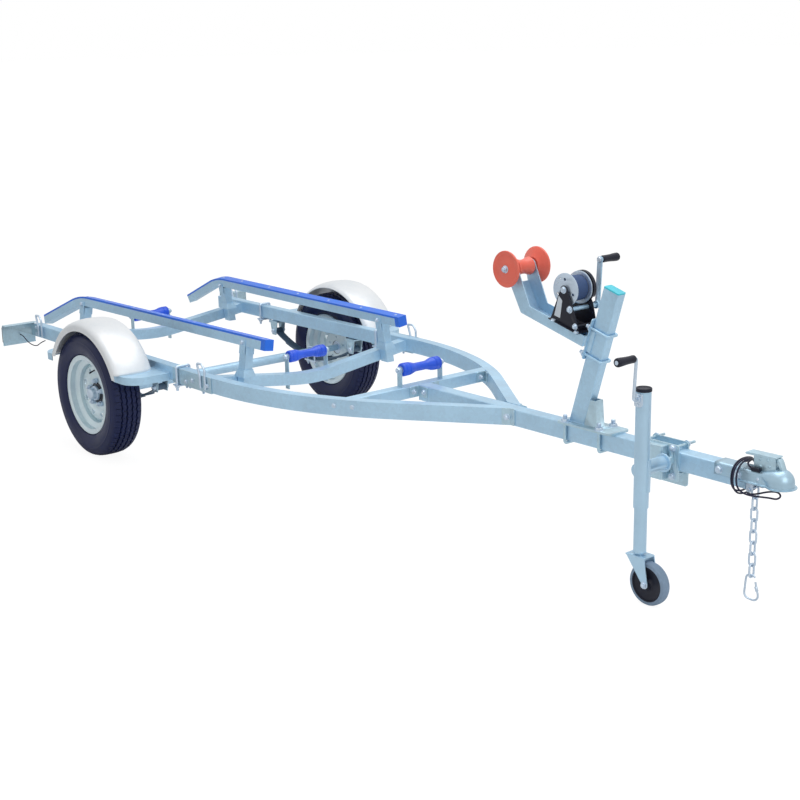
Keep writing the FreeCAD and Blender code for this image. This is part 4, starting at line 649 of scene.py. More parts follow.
SOFT_PIECES = [
    # nodes, finish, radius of the long edges
    ("drawbar", galvanised_tube, 0.006),
    ("cross_member_front cross_member_middle cross_member_rear", galvanised_tube, 0.005),
    ("rail_front_left rail_front_right rails_rear", galvanised_tube, 0.005),
    ("bunk_tube_left bunk_tube_right", galvanised_tube, 0.004),
    ("bunk_strip_left bunk_strip_right", blue_plastic, 0.003),
    ("rail_splices", galvanised_plate, 0.001),
    ("bunk_posts", galvanised_tube, 0.004),
    ("spring_hangers", galvanised_plate, 0.001),
    ("fender_brackets", galvanised_tube, 0.0015),
    ("lamp_brackets", galvanised_plate, 0.001),
    ("roller_brackets", galvanised_plate, 0.0015),
    ("winch_post", galvanised_tube, 0.001),
    ("winch_post_base", galvanised_plate, 0.0015),
    ("winch_post_cap", turquoise_cap, 0.0015),
    ("winch_arm", galvanised_tube, 0.0012),
    ("jack_mount", galvanised_plate, 0.0015),
    ("jack_tube caster_fork", jack_steel, 0.0012),
    ("winch_frame", black_paint, 0.001),
    ("winch_crank", galvanised_tube, 0.001),
]
for nodes, finish, radius in SOFT_PIECES:
    for node in nodes.split():
        softened(node, finish, radius)
print("kinds of softened pieces", len(SOFT_PIECES))

# %% [markdown]
# ## Tyres
#
# A trailer tyre has straight ribs with zigzag grooves, thin cuts called sipes and square
# shoulder blocks. The grid's columns run round the tyre and bend with the grooves, so every
# groove has crisp walls. The grid's rows are set close together where a sipe crosses.

# %% Tyre section and tread
TYRE_R = 287.5
WHEEL_Y = abs(WHEEL[1]) * 1000
PITCHES = 58
ROW_PLACES = np.array([0, 0.015, 0.075, 0.09, 0.30, 0.49, 0.505, 0.545, 0.56, 0.78])
GROOVES = np.array([-37, -13, 13, 37])
GROOVE_DEPTH, SHOULDER_DEPTH, RIB_DEPTH = 7.5, 5, 4
ZIGZAG = 2.6


def tyre_section():
    """Columns of (side place, drop below the crown, groove share, zigzag share, sipe kind), bead to bead."""
    tread = []
    for middle_y in GROOVES:
        for step, share in ((-4.4, 0), (-3, 1), (3, 1), (4.4, 0)):
            tread.append((middle_y + step, 0, share, 1, 0))
    for rib, kind in ((-25, 2), (0, 2), (25, 2), (-48, 1), (48, 1), (-56, 1), (56, 1)):
        tread.append((rib, 0, 0, 1 if abs(rib) < 30 else 0, kind))
    tread = np.array(sorted(tread))
    tread[:, 1] = np.interp(np.abs(tread[:, 0]), [0, 20, 43, 57], [0, 0.2, 2.2, 7])
    side = smooth([(57, 7), (63.5, 11), (68.5, 17.5), (71.5, 25), (74.6, 36), (76.6, 49), (76.2, 62),
                   (73.5, 76), (69.5, 88), (65.6, 98.4), (58.5, 101.4), (56.5, 104), (52, 119.6)], 3)[1:]
    ridge = np.exp(-((side[:, 1] - 40) / 2.2) ** 2) * 1.3 + np.exp(-((side[:, 1] - 90) / 2) ** 2) * 1.1
    side[:, 0] += ridge
    blank = np.zeros((len(side), 3))
    blank[:2, 2] = 1
    right = np.column_stack([side, blank])
    left = right[::-1] * np.array([-1, 1, 1, 1, 1])
    inner = np.array([[-44, 116.6, 0, 0, 0], [44, 116.6, 0, 0, 0]]) * np.array([-1, 1, 1, 1, 1])
    return np.vstack([left, tread, right, inner])


def tyre(side):
    """Each point stands at its column's side place plus the zigzag, a triangle wave once a pitch, and at the
    crown's radius less the column's drop, the groove's depth and, on the rows of a sipe, the sipe's depth."""
    place, drop, groove, zigzag, sipe = tyre_section().T
    turn = (np.arange(PITCHES)[:, None] + ROW_PLACES).ravel()
    part = np.tile(ROW_PLACES, PITCHES)
    wave = ZIGZAG * (2 * np.abs(2 * (turn % 1) - 1) - 1)
    sideways = place + wave[:, None] * zigzag + side * WHEEL_Y
    shoulder_cut = ((part > 0.01) & (part < 0.08))[:, None] * (sipe == 1)
    rib_cut = ((part > 0.50) & (part < 0.55))[:, None] * (sipe == 2)
    radius = TYRE_R - drop - GROOVE_DEPTH * groove - SHOULDER_DEPTH * shoulder_cut - RIB_DEPTH * rib_cut
    angle = (2 * np.pi * turn / PITCHES)[:, None]
    points = grid(radius * np.sin(angle), sideways, TYRE_R + radius * np.cos(angle))
    return quads(points, wrap_rows=True, wrap_cols=True)


for name, side in SIDES:
    made = piece("tyre_tread_" + name, [tyre(side)], tyre_rubber, ["tyre_" + name], "wheel_" + name,
                 sharp=30)
    print(made.name, len(made.data.polygons), "faces")

# %% [markdown]
# ## Hubs
#
# Five nuts with cone seats hold the wheel's disc. A pressed dust cap closes the bearing, and round it a black
# ring through the middle of the disc is painted shade: it stands for the dark recess of the centre bore and
# the nuts' shadows.

# %% Nuts, dust cap and valve
DISC_FACE = 4
LUG_CIRCLE, LUG_FLATS = 57, 20


def hub_parts(face, out):
    """The cap's profile is a rolled rim, a straight wall and a domed end. Five nuts stand on a circle."""
    cap = [(-3, 0), (-3, 33), (4, 33.4), (15, 33.4), (18, 32), (19, 27.5), (30, 26.6), (36, 26), (42, 22.5),
           (45, 16), (46, 14.5), (46.6, 0)]
    cone = [(0, 0), (0, 9.5), (5, 13.2), (6, 13.2), (6, 0)]
    head = [(5.5, 0), (5.5, 11.6), (17, 11.6), (20, 8.6), (20, 0)]
    parts = [lathe(smooth(cap, 3), face, out, 56)]
    for turn in around(5):
        spot = face + LUG_CIRCLE * leaning(turn)
        parts += [lathe(cone, spot, out, 24), lathe(head, spot, out, 24, LUG_FLATS)]
        parts.append(thread(spot + out * 19, out, 6, 7))
    return parts


def shade_ring_parts(face, out):
    """A black ring between the cap and the nuts, painted shade for the dark recess round the cap and the
    nuts' shadows.
    """
    ring = [(-4, 33.6), (-4, 50), (1.2, 50), (2.6, 47.5), (2.6, 36), (6, 33.6), (-4, 33.6)]
    return [lathe(ring, face, out, 56)]


VALVE_R, VALVE_TURN = 132, 0.4
for name, side in SIDES:
    centre = np.array([0, side * WHEEL_Y, TYRE_R])
    face = centre + side * DISC_FACE * Y
    piece("hub_cap_and_nuts_" + name, hub_parts(face, side * Y), bright_zinc, ["hub_" + name],
          "wheel_" + name)
    # The black ring round the dust cap is painted shade for the recess of the centre bore.
    piece("hub_shade_ring_" + name, shade_ring_parts(face, side * Y), black_paint, body="wheel_" + name)
    spoke = leaning(VALVE_TURN)
    valve = lathe([(0, 0), (0, 6), (6, 5.5), (10, 3.6), (22, 3.2), (23, 4.2), (33, 4), (35, 2.5), (35, 0)],
                  centre + side * 30 * Y + VALVE_R * spoke, side * Y - 0.45 * spoke, 14)
    piece("tyre_valve_" + name, [valve], black_plastic, body="wheel_" + name)
print("hubs 2")

# %% [markdown]
# ## Leaf springs
#
# A leaf spring is a stack of flat bars, each shorter than the one above, rolled to one curve.
# A bar is a rounded rectangle carried along a circle's arc, and its ends close on themselves.

# %% Leaves, eyes and clips
AXLE_TOP_SEAT = 265
SPRING_Y = 551.5
SPRING_RADIUS = 666
LEAF_W, LEAF_T = 44, 5


def leaf(level, half_length):
    """z = lowest point + radius - square root of (radius squared - x squared), and the section stands
    square to that."""
    x = np.linspace(-half_length, half_length, 45)
    radius = SPRING_RADIUS + level * LEAF_T
    z = AXLE_TOP_SEAT - (level + 0.5) * LEAF_T + radius - np.sqrt(radius ** 2 - x ** 2)
    a, b, c = LEAF_W / 2, LEAF_T / 2, 0.8
    section = np.array([(-a + c, b), (a - c, b), (a, b - c), (a, c - b),
                        (a - c, -b), (c - a, -b), (-a, c - b), (-a, b - c)])
    size = np.ones(len(x) + 2)
    size[[0, -1]] = 0
    x, z = np.concatenate([x[:1], x, x[-1:]]), np.concatenate([z[:1], z, z[-1:]])
    x, z, size = x[:, None], z[:, None], size[:, None]
    wide, tall = size * section[:, 0], size * section[:, 1]
    lean = -x / radius
    return quads(grid(x + tall * lean, SPRING_Y + wide, z + tall * np.sqrt(1 - lean ** 2)), wrap_cols=True)


def spring_parts():
    parts = [leaf(0, 326), leaf(1, 235), leaf(2, 150)]
    eye = [(-22, 8), (-22, 14), (-21, 15), (21, 15), (22, 14), (22, 8), (-22, 8)]
    parts += [lathe(eye, (x, SPRING_Y, 350), Y, 28) for x in (-330, 330)]
    for x in (-105, 105):
        z = AXLE_TOP_SEAT + SPRING_RADIUS - math.sqrt(SPRING_RADIUS ** 2 - x ** 2)
        loop = panel((x, SPRING_Y - 25, z + 3), (x, SPRING_Y + 25, z - 18), 4)
        parts.append(rod(loop, 2.6, X, 6, closed=True))
    return parts


springs = both_sides(spring_parts())
piece("springs_of_three_leaves", springs, spring_steel, ["leaf_springs"])
print("spring parts", len(springs))

# %% [markdown]
# ## U-bolts and bolts on the frame
#
# Loose pieces of the frame are clamped with U-bolts and joined with bolts. One table gives
# each bolt's place, the way that its head looks, its size and how much thread stands out.

# %% Fasteners of the frame
U_BOLT_R = 6


def u_bolt(x, y_out, y_in, top, low):
    """A square bend of rod over a tube, and a nut and thread on each leg."""
    path = bent([(x, y_out, low), (x, y_out, top), (x, y_in, top), (x, y_in, low)], 9)
    parts = [rod(path, U_BOLT_R, X, 12)]
    for y in (y_out, y_in):
        parts += bolt((x, y, low + 16), -Z, 19, 9, 12)
    return parts


def flat_bar(x0, x1, y0, y1, z0, z1):
    """A bar or plate with rounded upright corners."""
    return slab(panel((x0, y0, z0), (x1, y1, z0), 3), Z, z1 - z0, 0.6)


BEND_FROM_X, BEND_R = 790, 1450


def rail_face(x):
    """The front rail's outer face on the left: y and the way that it faces, on its bend."""
    reach = (x - BEND_FROM_X) / BEND_R
    rise = math.sqrt(1 - reach ** 2)
    return RAIL_SIDE / MM - BEND_R * (1 - rise), (reach, rise, 0)


frame_bolts = []
for x, outer in ((535, 585), (-445, 581.5)):
    frame_bolts += u_bolt(x, outer, 521, 479.5, 380)
    frame_bolts.append(flat_bar(x - 22, x + 22, 513, 594, 396, 401.5))

SIDE_BOLTS = [
    # places on the face, the way it looks, flats, height, thread
    ([(652, 578, 438), (770, 578, 434), (600, 578, 424)], Y, 15, 7, 0),
    ([(700, 556, 403), (560, 552, 403)], -Z, 17, 9, 8),
    ([(-840, 577, 456), (-840, 577, 424)], Y, 13, 6, 0),
    ([(340, 640, 440), (340, 700, 440), (-290, 640, 440), (-290, 700, 440)], Z, 13, 6, 0),
]
for places, *rest in SIDE_BOLTS:
    for place in places:
        frame_bolts += bolt(place, *rest)
for x in (1437, 1506):
    y, way = rail_face(x)
    frame_bolts += bolt((x, y, 446), way, 15, 6)
for x in (-330, 330):
    frame_bolts += bolt((x, SPRING_Y + 27, 350), Y, 21, 10, 5)
    frame_bolts += bolt((x, SPRING_Y - 27, 350), -Y, 21, 10)
for y in (SPRING_Y - 28, SPRING_Y + 28):
    for x in (-27.5, 27.5):
        frame_bolts += bolt((x, y, 242), -Z, 17, 9, 8)
piece("frame_bolts", both_sides(frame_bolts), bright_zinc)
print("frame fasteners", 2 * len(frame_bolts))

# %% [markdown]
# ## Plates at the frame's joints
#
# Where two tubes of the frame meet, a plate bent to their angle is bolted on, and each bunk
# post stands in a flared skirt. A bent plate is two flat slabs that share an edge. A skirt is
# one outline carried down while it grows.

# %% Joint plates and skirts
APEX_X, DRAWBAR_SIDE = 2017, 30
RAIL_TURN = math.radians(35.5)


def upright(start, end, low, high, normal):
    """A plate of 4 mm that stands on the line from start to end, thick along the normal."""
    return slab(panel((*start, low), (*end, high), 4), (*normal, 0), 4, 0.6)


rail_way = np.array([math.cos(RAIL_TURN), -math.sin(RAIL_TURN)])
rail_out = np.array([math.sin(RAIL_TURN), math.cos(RAIL_TURN)])
apex = np.array([APEX_X, DRAWBAR_SIDE])
plates = [
    upright(apex + rail_way, apex - 33 * rail_way, 409, 474, rail_out),
    upright(apex + [-2, 0], apex + [25, 0], 409, 474, (0, 1)),
    upright((1490, 289), (1490, 341), 425, 469, (1, 0)),
    upright((1490, 341), (1524.5, 321), 425, 469, (-0.506, -0.8625)),
    upright((1490, 31), (1490, 78), 425, 469, (1, 0)),
    upright((1491, 30), (1546, 30), 425, 469, (0, 1)),
]
piece("joint_plates", both_sides(plates), galvanised_plate)
apex_bolt = apex - 14 * rail_way + 4 * rail_out
joint_bolts = bolt((*apex_bolt, 440), (*rail_out, 0), 19, 9, 4) + bolt((1494, 309, 447), X, 17, 8, 5)
joint_bolts += bolt((1527, 34, 447), Y, 17, 8, 3) + bolt((1494, 58, 447), X, 17, 8, 3)
piece("joint_bolts", both_sides(joint_bolts), bright_zinc)

skirts = []
for x, y, low in ((770.8, 389.6, 446), (-608.8, 426, 450)):
    foot = panel((x - 29, y - 24, 0), (x + 29, y + 24, 0), 4)
    skirts.append(carried(foot, [(0, (0, -2, low + 32)), (1, (0, -2, low + 32)), (1.02, (0, -2, low + 26)),
                                 (1.28, (0, 0, low + 5)), (1.28, (0, 0, low)), (0, (0, 0, low))]))
piece("post_skirts", both_sides(skirts), galvanised_tube)
print("joint plates", 2 * len(plates), "skirts", 2 * len(skirts))

# %% [markdown]
# ## Bunk bolts
#
# Each bunk stands on four ears, and a bolt goes through every pair. The bunk leans in and
# toes in a little, so the bolts are placed in the bunk's own frame and turned with it.

# %% Bunk frame and its bolts
BUNK_ROLL = math.radians(8.3)
BUNK_TOE = math.radians(1.5)
BUNK_NOSE = np.array([927, 361, 622.5])


def on_bunk(part):
    """Rolls about the bunk's length, then toes in about its nose: two turns, each a rotation matrix."""
    corners, faces = part
    roll, toe = np.array(Matrix.Rotation(BUNK_ROLL, 3, "X")), np.array(Matrix.Rotation(-BUNK_TOE, 3, "Z"))
    return (corners @ roll.T - BUNK_NOSE * X) @ toe.T + BUNK_NOSE, faces


bunk_bolts = []
for x, low in ((770, 0), (-610, 7)):
    for y, way in ((25.5, 1), (-25.5, -1)):
        bunk_bolts += [on_bunk(part) for part in bolt((x, y, -33 - low), way * Y, 16, 8, 4 if way < 0 else 0)]
piece("bunk_bolts", both_sides(bunk_bolts), bright_zinc)

screws = [on_bunk(lathe([(0, 0), (0, 6.5), (-0.6, 6.4), (-1.6, 3), (-1.6, 0)], (x, 0, 0.2), Z, 16))
          for x in (880, 620, 360, 100, -160, -420, -600)]
piece("bunk_screws", both_sides(screws), bright_zinc)
print("bunk bolts", len(bunk_bolts), "screws", 2 * len(screws))

# %% [markdown]
# ## Keel rollers
#
# A keel roller is moulded with two barrels and a waist, and thin grooves near its ends keep
# it from slipping. It is turned, and so are the nuts on its pin.

# %% Rollers and pin nuts
HALF_ROLLER = [(100, 8.4), (100, 22.5), (99, 24.5), (96, 26.8), (91.5, 27.4), (90.5, 25.8), (88, 25.8),
               (87, 27.4), (70, 27.2), (69, 25.6), (66.5, 25.6), (65.5, 26.9), (55, 25.6), (44, 22.2),
               (34, 19.2), (25, 18)]
roller_profile = [(-y, r) for y, r in HALF_ROLLER] + [(y, r) for y, r in reversed(HALF_ROLLER)]
roller_profile.append(roller_profile[0])
KEEL_ROLLERS = [("front", 1465, 540), ("middle", 682, 470), ("rear", -698, 466)]
pin_nuts = []
for name, x, z in KEEL_ROLLERS:
    piece("roller_" + name + "_moulded", [lathe(roller_profile, (x, 0, z), Y, 56)], roller_blue,
          ["keel_roller_" + name], "roller_" + name, sharp=30)
    for side in (-1, 1):
        pin_nuts += bolt((x, side * 110, z), side * Y, 22, 11, 3)
        washer = [(0, 8.4), (0, 15), (2, 15), (2, 8.4), (0, 8.4)]
        pin_nuts.append(lathe(washer, (x, side * 101.5, z), side * Y, 28))
piece("roller_pin_nuts", pin_nuts, bright_zinc)
print("keel rollers", len(KEEL_ROLLERS))

# %% [markdown]
# ## Bow roller
#
# The boat's bow rests in a spool between two bells, cast in soft orange polyurethane. Each
# bell's flat outer face has a shallow ring and a hub.

# %% Spool, bells and their bolt
BOW = np.array([2045, 0, 1008])
bell = [(53.5, 7.2), (53.5, 31), (58, 36), (64, 47), (70, 58), (75.5, 66), (78, 67.2), (81, 67.2), (83, 65.6),
        (83, 58), (81.4, 55), (81.4, 30), (83, 26.5), (83, 14), (83, 7.2), (53.5, 7.2)]
spool = [(-38.5, 7.2), (-38.5, 31.5), (-36.5, 33), (-30, 32.6), (-20, 29), (-8, 26.3), (8, 26.3), (20, 29),
         (30, 32.6), (36.5, 33), (38.5, 31.5), (38.5, 7.2), (-38.5, 7.2)]
bow_parts = [lathe(bell, BOW, Y, 72), lathe(bell, BOW, -Y, 72), lathe(spool, BOW, Y, 56)]
piece("bow_roller_moulded", bow_parts, orange_roller, ["bow_roller"], "bow_roller", sharp=26)
bow_bolt = []
for side in (-1, 1):
    bow_bolt += bolt(BOW + side * 83 * Y, side * Y, 21, 10, 4)
bow_bolt.append(lathe([(-83, 0), (-83, 6.8), (83, 6.8), (83, 0)], BOW, Y, 20))
piece("bow_roller_bolt", bow_bolt, bright_zinc, body="bow_roller")
print("bow roller parts", len(bow_parts))

# %% [markdown]
# ## Safety chain
#
# Each link is a round bar bent to a long loop and welded, and each is turned a quarter from
# the one above. The path is two half circles joined by straight runs.

# %% Chain links and the snap hook
LINKS, LINK_L, LINK_W, LINK_R = 8, 53, 31, 3.6
LINK_PITCH = LINK_L - 4 * LINK_R - 0.3
CHAIN = np.array([3098, 0, 412 + 4 + 0.3 + 2 * LINK_R - LINK_L / 2])


def link(number):
    """A stadium: angles run round it, and the straight half length is added above and taken off below."""
    angle = around(32) + np.pi / 32
    bend = LINK_W / 2 - LINK_R
    straight = LINK_L / 2 - LINK_W / 2
    flat = bend * np.cos(angle)
    tall = bend * np.sin(angle) + straight * np.sign(np.sin(angle))
    way = Y if number % 2 else X
    middle_of = CHAIN - number * LINK_PITCH * Z
    path = middle_of + flat[:, None] * way + tall[:, None] * Z
    return rod(path, LINK_R, np.cross(way, Z), 10, closed=True)


piece("chain_links", [link(number) for number in range(LINKS)], bright_zinc, ["safety_chain"], sharp=60)

hook_bar = CHAIN[2] - (LINKS - 1) * LINK_PITCH - LINK_L / 2 + 2 * LINK_R + 0.3 + 3.5
low = hook_bar - 84
HOOK_LINE = [
    # how far ahead of the chain, height over the hook's low point
    (15, 79), (8, 83), (-2, 84), (-12, 81), (-19, 72), (-23, 34), (-24, 14), (-17, 3),
    (-2, 0), (16, 1), (27, 11), (28, 24), (23, 40), (17, 64),
]
hook_path = smooth([(CHAIN[0] + ahead, 0, low + high) for ahead, high in HOOK_LINE], 4)
sleeve = lathe([(0, 0), (0, 4.6), (1, 5.2), (15, 5.2), (16, 4.6), (16, 0)], (CHAIN[0] + 24.5, 0, low + 34),
               (-0.34, 0, 0.94), 16)
piece("snap_hook", [rod(hook_path, 3.5, Y, 12), sleeve], bright_zinc, ["chain_hook"], sharp=60)
print("chain", LINKS, "links, hook reaches down to", round(low - 3.5, 1), "mm")

# %% [markdown]
# ## Winch
#
# The drum's flange is a pressed plate with holes, so it starts as a flat curve: the outer
# circle and the holes are closed lines, and the fill leaves the holes open. The strap is a
# spiral: its radius grows a little with every turn, which leaves a step at its end.

# %% Drum, strap, grips
DRUM = np.array([2306, 0, 960])


def circle(x, y, radius, count):
    angle = around(count)
    return np.stack([x + radius * np.cos(angle), y + radius * np.sin(angle)], -1)


def holed_plate(name, outline, holes, thick, origin, finish, body):
    """A flat curve of closed lines, filled, thickened and turned to a mesh that stands and looks right."""
    data = bpy.data.curves.new(name, "CURVE")
    data.dimensions = "2D"
    data.fill_mode = "BOTH"
    data.extrude = thick * 0.0005 - 0.0004
    data.bevel_depth = 0.0004
    data.bevel_resolution = 1
    for line in [outline, *holes]:
        spline = data.splines.new("POLY")
        spline.points.add(len(line) - 1)
        flat = np.column_stack([np.asarray(line) * MM, np.zeros(len(line)), np.ones(len(line))])
        spline.points.foreach_set("co", flat.ravel())
        spline.use_cyclic_u = True
    holder = bpy.data.objects.new(name + "_curve", data)
    mesh = bpy.data.meshes.new_from_object(holder)
    bpy.data.objects.remove(holder)
    mesh.transform(matrix(X, Z, -Y, origin * MM + FROM_AXLE))
    return finished(name, mesh, finish, body=body)


# distance from the middle, bearing in degrees, radius
FLANGE_HOLES = [(36, 96, 5.5), (38, -22, 5.5), (40, 205, 5.5), (44, 128, 3.2), (42, 152, 3.2), (38, -82, 5.5)]
holes = [circle(r * math.cos(math.radians(a)), r * math.sin(math.radians(a)), size, 20)
         for r, a, size in FLANGE_HOLES]
near_flange = DRUM - 43.5 * Y
holed_plate("drum_flange_near", circle(0, 0, 57.5, 72), holes, 3, near_flange, bright_zinc, "winch_drum")
rim = [(-1.9, 56.2), (-1, 59), (1, 59), (1.9, 56.2), (-1.9, 56.2)]
drum_parts = [lathe(rim, near_flange, Y, 72),
              lathe(rim, DRUM + 28.5 * Y, Y, 72),
              lathe([(27, 0), (27, 57), (30, 57), (30, 0)], DRUM, Y, 72),
              lathe([(-57, 0), (-58, 8), (-58, 9), (62, 9), (62, 0)], DRUM, Y, 28),
              lathe([(-45.6, 0), (-45.6, 15), (-46.6, 13.4), (-46.6, 0)], DRUM, Y, 36)]
drum_parts += bolt(DRUM - 54.3 * Y, -Y, 19, 7)
piece("winch_drum_turned", drum_parts, bright_zinc, ["winch_drum"], "winch_drum")


def strap():
    """Radius = 44.4 + 1.8 x share of a turn, less a little at the edges, with nine faint ridges round it."""
    y = np.linspace(-40, 25, 40)
    angle = np.linspace(0, 2 * np.pi, 97)
    edge = ((y + 7.5) / 32.5) ** 8
    ridge = 0.25 * np.cos((y + 7.5) / 65 * 2 * np.pi * 9)
    radius = 44.4 + 1.8 * angle[:, None] / (2 * np.pi) - 1.2 * edge[None, :] + ridge[None, :]
    radius = np.pad(radius, ((0, 0), (1, 1)), constant_values=22.3)
    y = np.concatenate([y[:1], y, y[-1:]])
    turn = angle[:, None] + math.radians(200)
    points = grid(radius * np.cos(turn), y, radius * np.sin(turn))
    return quads(points + DRUM, wrap_rows=True, wrap_cols=True)


piece("winch_strap_wound", [strap()], webbing, ["winch_strap"], "winch_drum", sharp=50)

GRIP = [(0, 0), (0, 9), (0.8, 11), (3, 12.4), (8, 12.9), (22, 12.6), (44, 13.2), (64, 14.6), (76, 15),
        (81, 14.2), (83.4, 12), (84, 8.5), (83.4, 6.5), (83.4, 0)]
CRANK_L, CRANK_TILT = 162, math.radians(3)
winch_grip_at = np.array([2336, 98, 894]) + CRANK_L * leaning(CRANK_TILT)
grip_profile = smooth(GRIP, 3)
piece("winch_grip_moulded", [lathe(grip_profile, winch_grip_at, Y, 40)], black_plastic, ["winch_grip"],
      "winch_crank", sharp=50)
end_bolt = [(0, 0), (0, 7), (1.2, 7), (2.2, 5.6), (2.2, 0)]
crank_ends = [lathe(end_bolt, winch_grip_at + 83.4 * Y, Y, 24)]
crank_ends += bolt((winch_grip_at[0], 87, winch_grip_at[2]), -Y, 17, 6)
crank_ends += bolt((2336, 96, 894), Y, 19, 8, 4)
piece("winch_crank_nuts", crank_ends, bright_zinc, body="winch_crank")

winch_nuts = bolt((2336, -54, 894), -Y, 19, 7, 3) + bolt((2362, -54, 837), -Y, 17, 7, 3)
winch_nuts += bolt((2362, 40, 837), Y, 17, 7)
ARM_SLOPE = math.radians(15)
for x, y in ((2262, -58), (2262, 50), (2370, -58)):
    winch_nuts += bolt((x, y, 893 - (x - 2089) * math.tan(ARM_SLOPE)), leaning(ARM_SLOPE), 15, 6)
piece("winch_plate_bolts", winch_nuts, bright_zinc)

LABEL = [(2262, 865), (2290, 858), (2300, 922), (2283, 938)]
label = slab(bent([(x, -54.2, z) for x, z in LABEL], 3, 4, closed=True), -Y, 0.5, 0.1)
piece("winch_blank_label", [label], pale_label)
print("winch pieces 7")

# %% [markdown]
# ## Jack
#
# The jack's tube is drawn steel with a moulded cap, its crank is a bent round rod, and its
# wheel is moulded in two colours. All but the rod and its plate are turned.

# %% Cap, leg, crank, grip and wheel
JACK = np.array([2814, -219, 0])
cap = [(0, 0), (0, 25.5), (0.6, 27), (7, 27.2), (10.5, 26.8), (12, 25), (12, 23.6), (9.5, 21.6), (8.6, 18),
       (8.6, 0)]
piece("jack_cap_moulded", [lathe(cap, JACK + 716 * Z, Z, 56)], black_plastic, ["jack_cap"], "jack")
leg = [(170, 0), (170, 20.4), (171, 21.5), (480, 21.5), (490, 20), (490, 0)]
ridge = [(172, 20), (172, 21.5), (173, 21.9), (178, 21.9), (179, 21.5), (179, 20), (172, 20)]
piece("jack_leg_turned", [lathe(leg, JACK, Z, 56), lathe(ridge, JACK, Z, 56)], jack_steel, ["jack_leg"],
      "jack_leg")

crank_y = JACK[1] - 25
bar = bent([(2814, crank_y - 1, 694), (2814, crank_y - 24, 694), (2822, crank_y - 24, 832),
            (2822, crank_y - 34, 832)], 9, 7)
crank_parts = [rod(bar, 5.5, (1, 0, -0.058), 14),
               lathe([(0, 0), (0, 11), (1, 12), (7, 12), (8, 11), (8, 0)], (2814, crank_y - 1, 694), -Y, 28)]
plate_line = panel((2799, crank_y, 668), (2829, crank_y, 712), 8, 6)
crank_parts.append(slab(plate_line, -Y, 4, 0.8))
crank_parts.append(slab(plate_line + 14 * Y, -Y, 14, 0.5))
for z in (675, 706):
    crank_parts.append(lathe([(0, 0), (0, 4), (1, 4.4), (2.4, 3), (2.8, 0)], (2814, crank_y - 4, z), -Y, 16))
piece("jack_crank_bent", crank_parts, bright_zinc, ["jack_crank"], "jack")
jack_grip_at = np.array([2822, crank_y - 34, 832])
piece("jack_grip_moulded", [lathe(grip_profile, jack_grip_at, -Y, 40)], black_plastic, ["jack_grip"],
      "jack", sharp=50)
piece("jack_grip_bolt", [lathe(end_bolt, jack_grip_at - 83.4 * Y, -Y, 24)], bright_zinc, body="jack")

wheel_at = np.array([2859, -219, 74])
HALF_TREAD = [(-18, 60), (-18, 66), (-16.5, 70), (-11, 73.2), (-4, 74)]
HALF_CORE = [(-17.4, 61), (-17.4, 56), (-13, 54), (-11, 50), (-11, 24), (-14, 19), (-18, 17), (-18, 7)]
tread, core = [half + [(-y, r) for y, r in reversed(half)] + half[:1] for half in (HALF_TREAD, HALF_CORE)]
piece("jockey_wheel_core", [lathe(core, wheel_at, Y, 56)], black_plastic, ["jockey_wheel"],
      "jockey_wheel", sharp=30)
piece("jockey_wheel_tread", [lathe(tread, wheel_at, Y, 72)], jockey_rubber, body="jockey_wheel",
      sharp=30)
caster_nuts = bolt(wheel_at - 27 * Y, -Y, 19, 8, 3) + bolt(wheel_at + 27 * Y, Y, 19, 8)
piece("caster_nuts", caster_nuts, bright_zinc, body="caster")
print("jack pieces 8")

# %% [markdown]
# ## Bolts of the post, its saddle and the jack's clamp
#
# The same fastener builder again, with a table of places. The post leans forward by 17
# degrees, and so do the nuts behind it.

# %% Post, saddle and clamp bolts
POST_LEAN = math.radians(17)
post_along, post_ahead = leaning(POST_LEAN), leaning(POST_LEAN + np.pi / 2)
post_bolts = []
for up in (261, 361):
    for y in (-26.2, 26.2):
        spot = np.array([2342, y, 480]) + post_along * up - post_ahead * 39
        post_bolts += bolt(spot, -post_ahead, 20, 9, 9)
for x in (2304, 2466):
    for y in (-37.2, 37.2):
        post_bolts += bolt((x, y, 480), Z, 25.5, 11, 13)
for x in (2662, 2792):
    for z, tail in ((484, 27), (386, 11)):
        post_bolts += bolt((x, -36, z), -Y, 19.5, 9, 2)
        post_bolts += bolt((x, 36, z), Y, 19.5, 10)
        post_bolts.append(thread((x, 45, z), Y, 5.1, tail))
piece("post_and_clamp_bolts", post_bolts, bright_zinc)
print("post and clamp bolts", len(post_bolts))

# %% [markdown]
# ## Coupler
#
# The coupler is pressed from one sheet: a channel over the drawbar that swells into a dome
# over the ball, with a flared lip below. Its section is one line of points, and the body is
# that line carried forward while it swells. The nose is the same line turned round the ball.

# %% Pressed shell
BALL_X, BALL_Z, DOME_Z, DOME_R = 3190, 438, 450, 44
LIP_Z = 434


def step(value, start, end):
    """0 before start, 1 after end, and 3t^2 - 2t^3 between."""
    t = np.clip((value - start) / (end - start), 0, 1)
    return t * t * (3 - 2 * t)


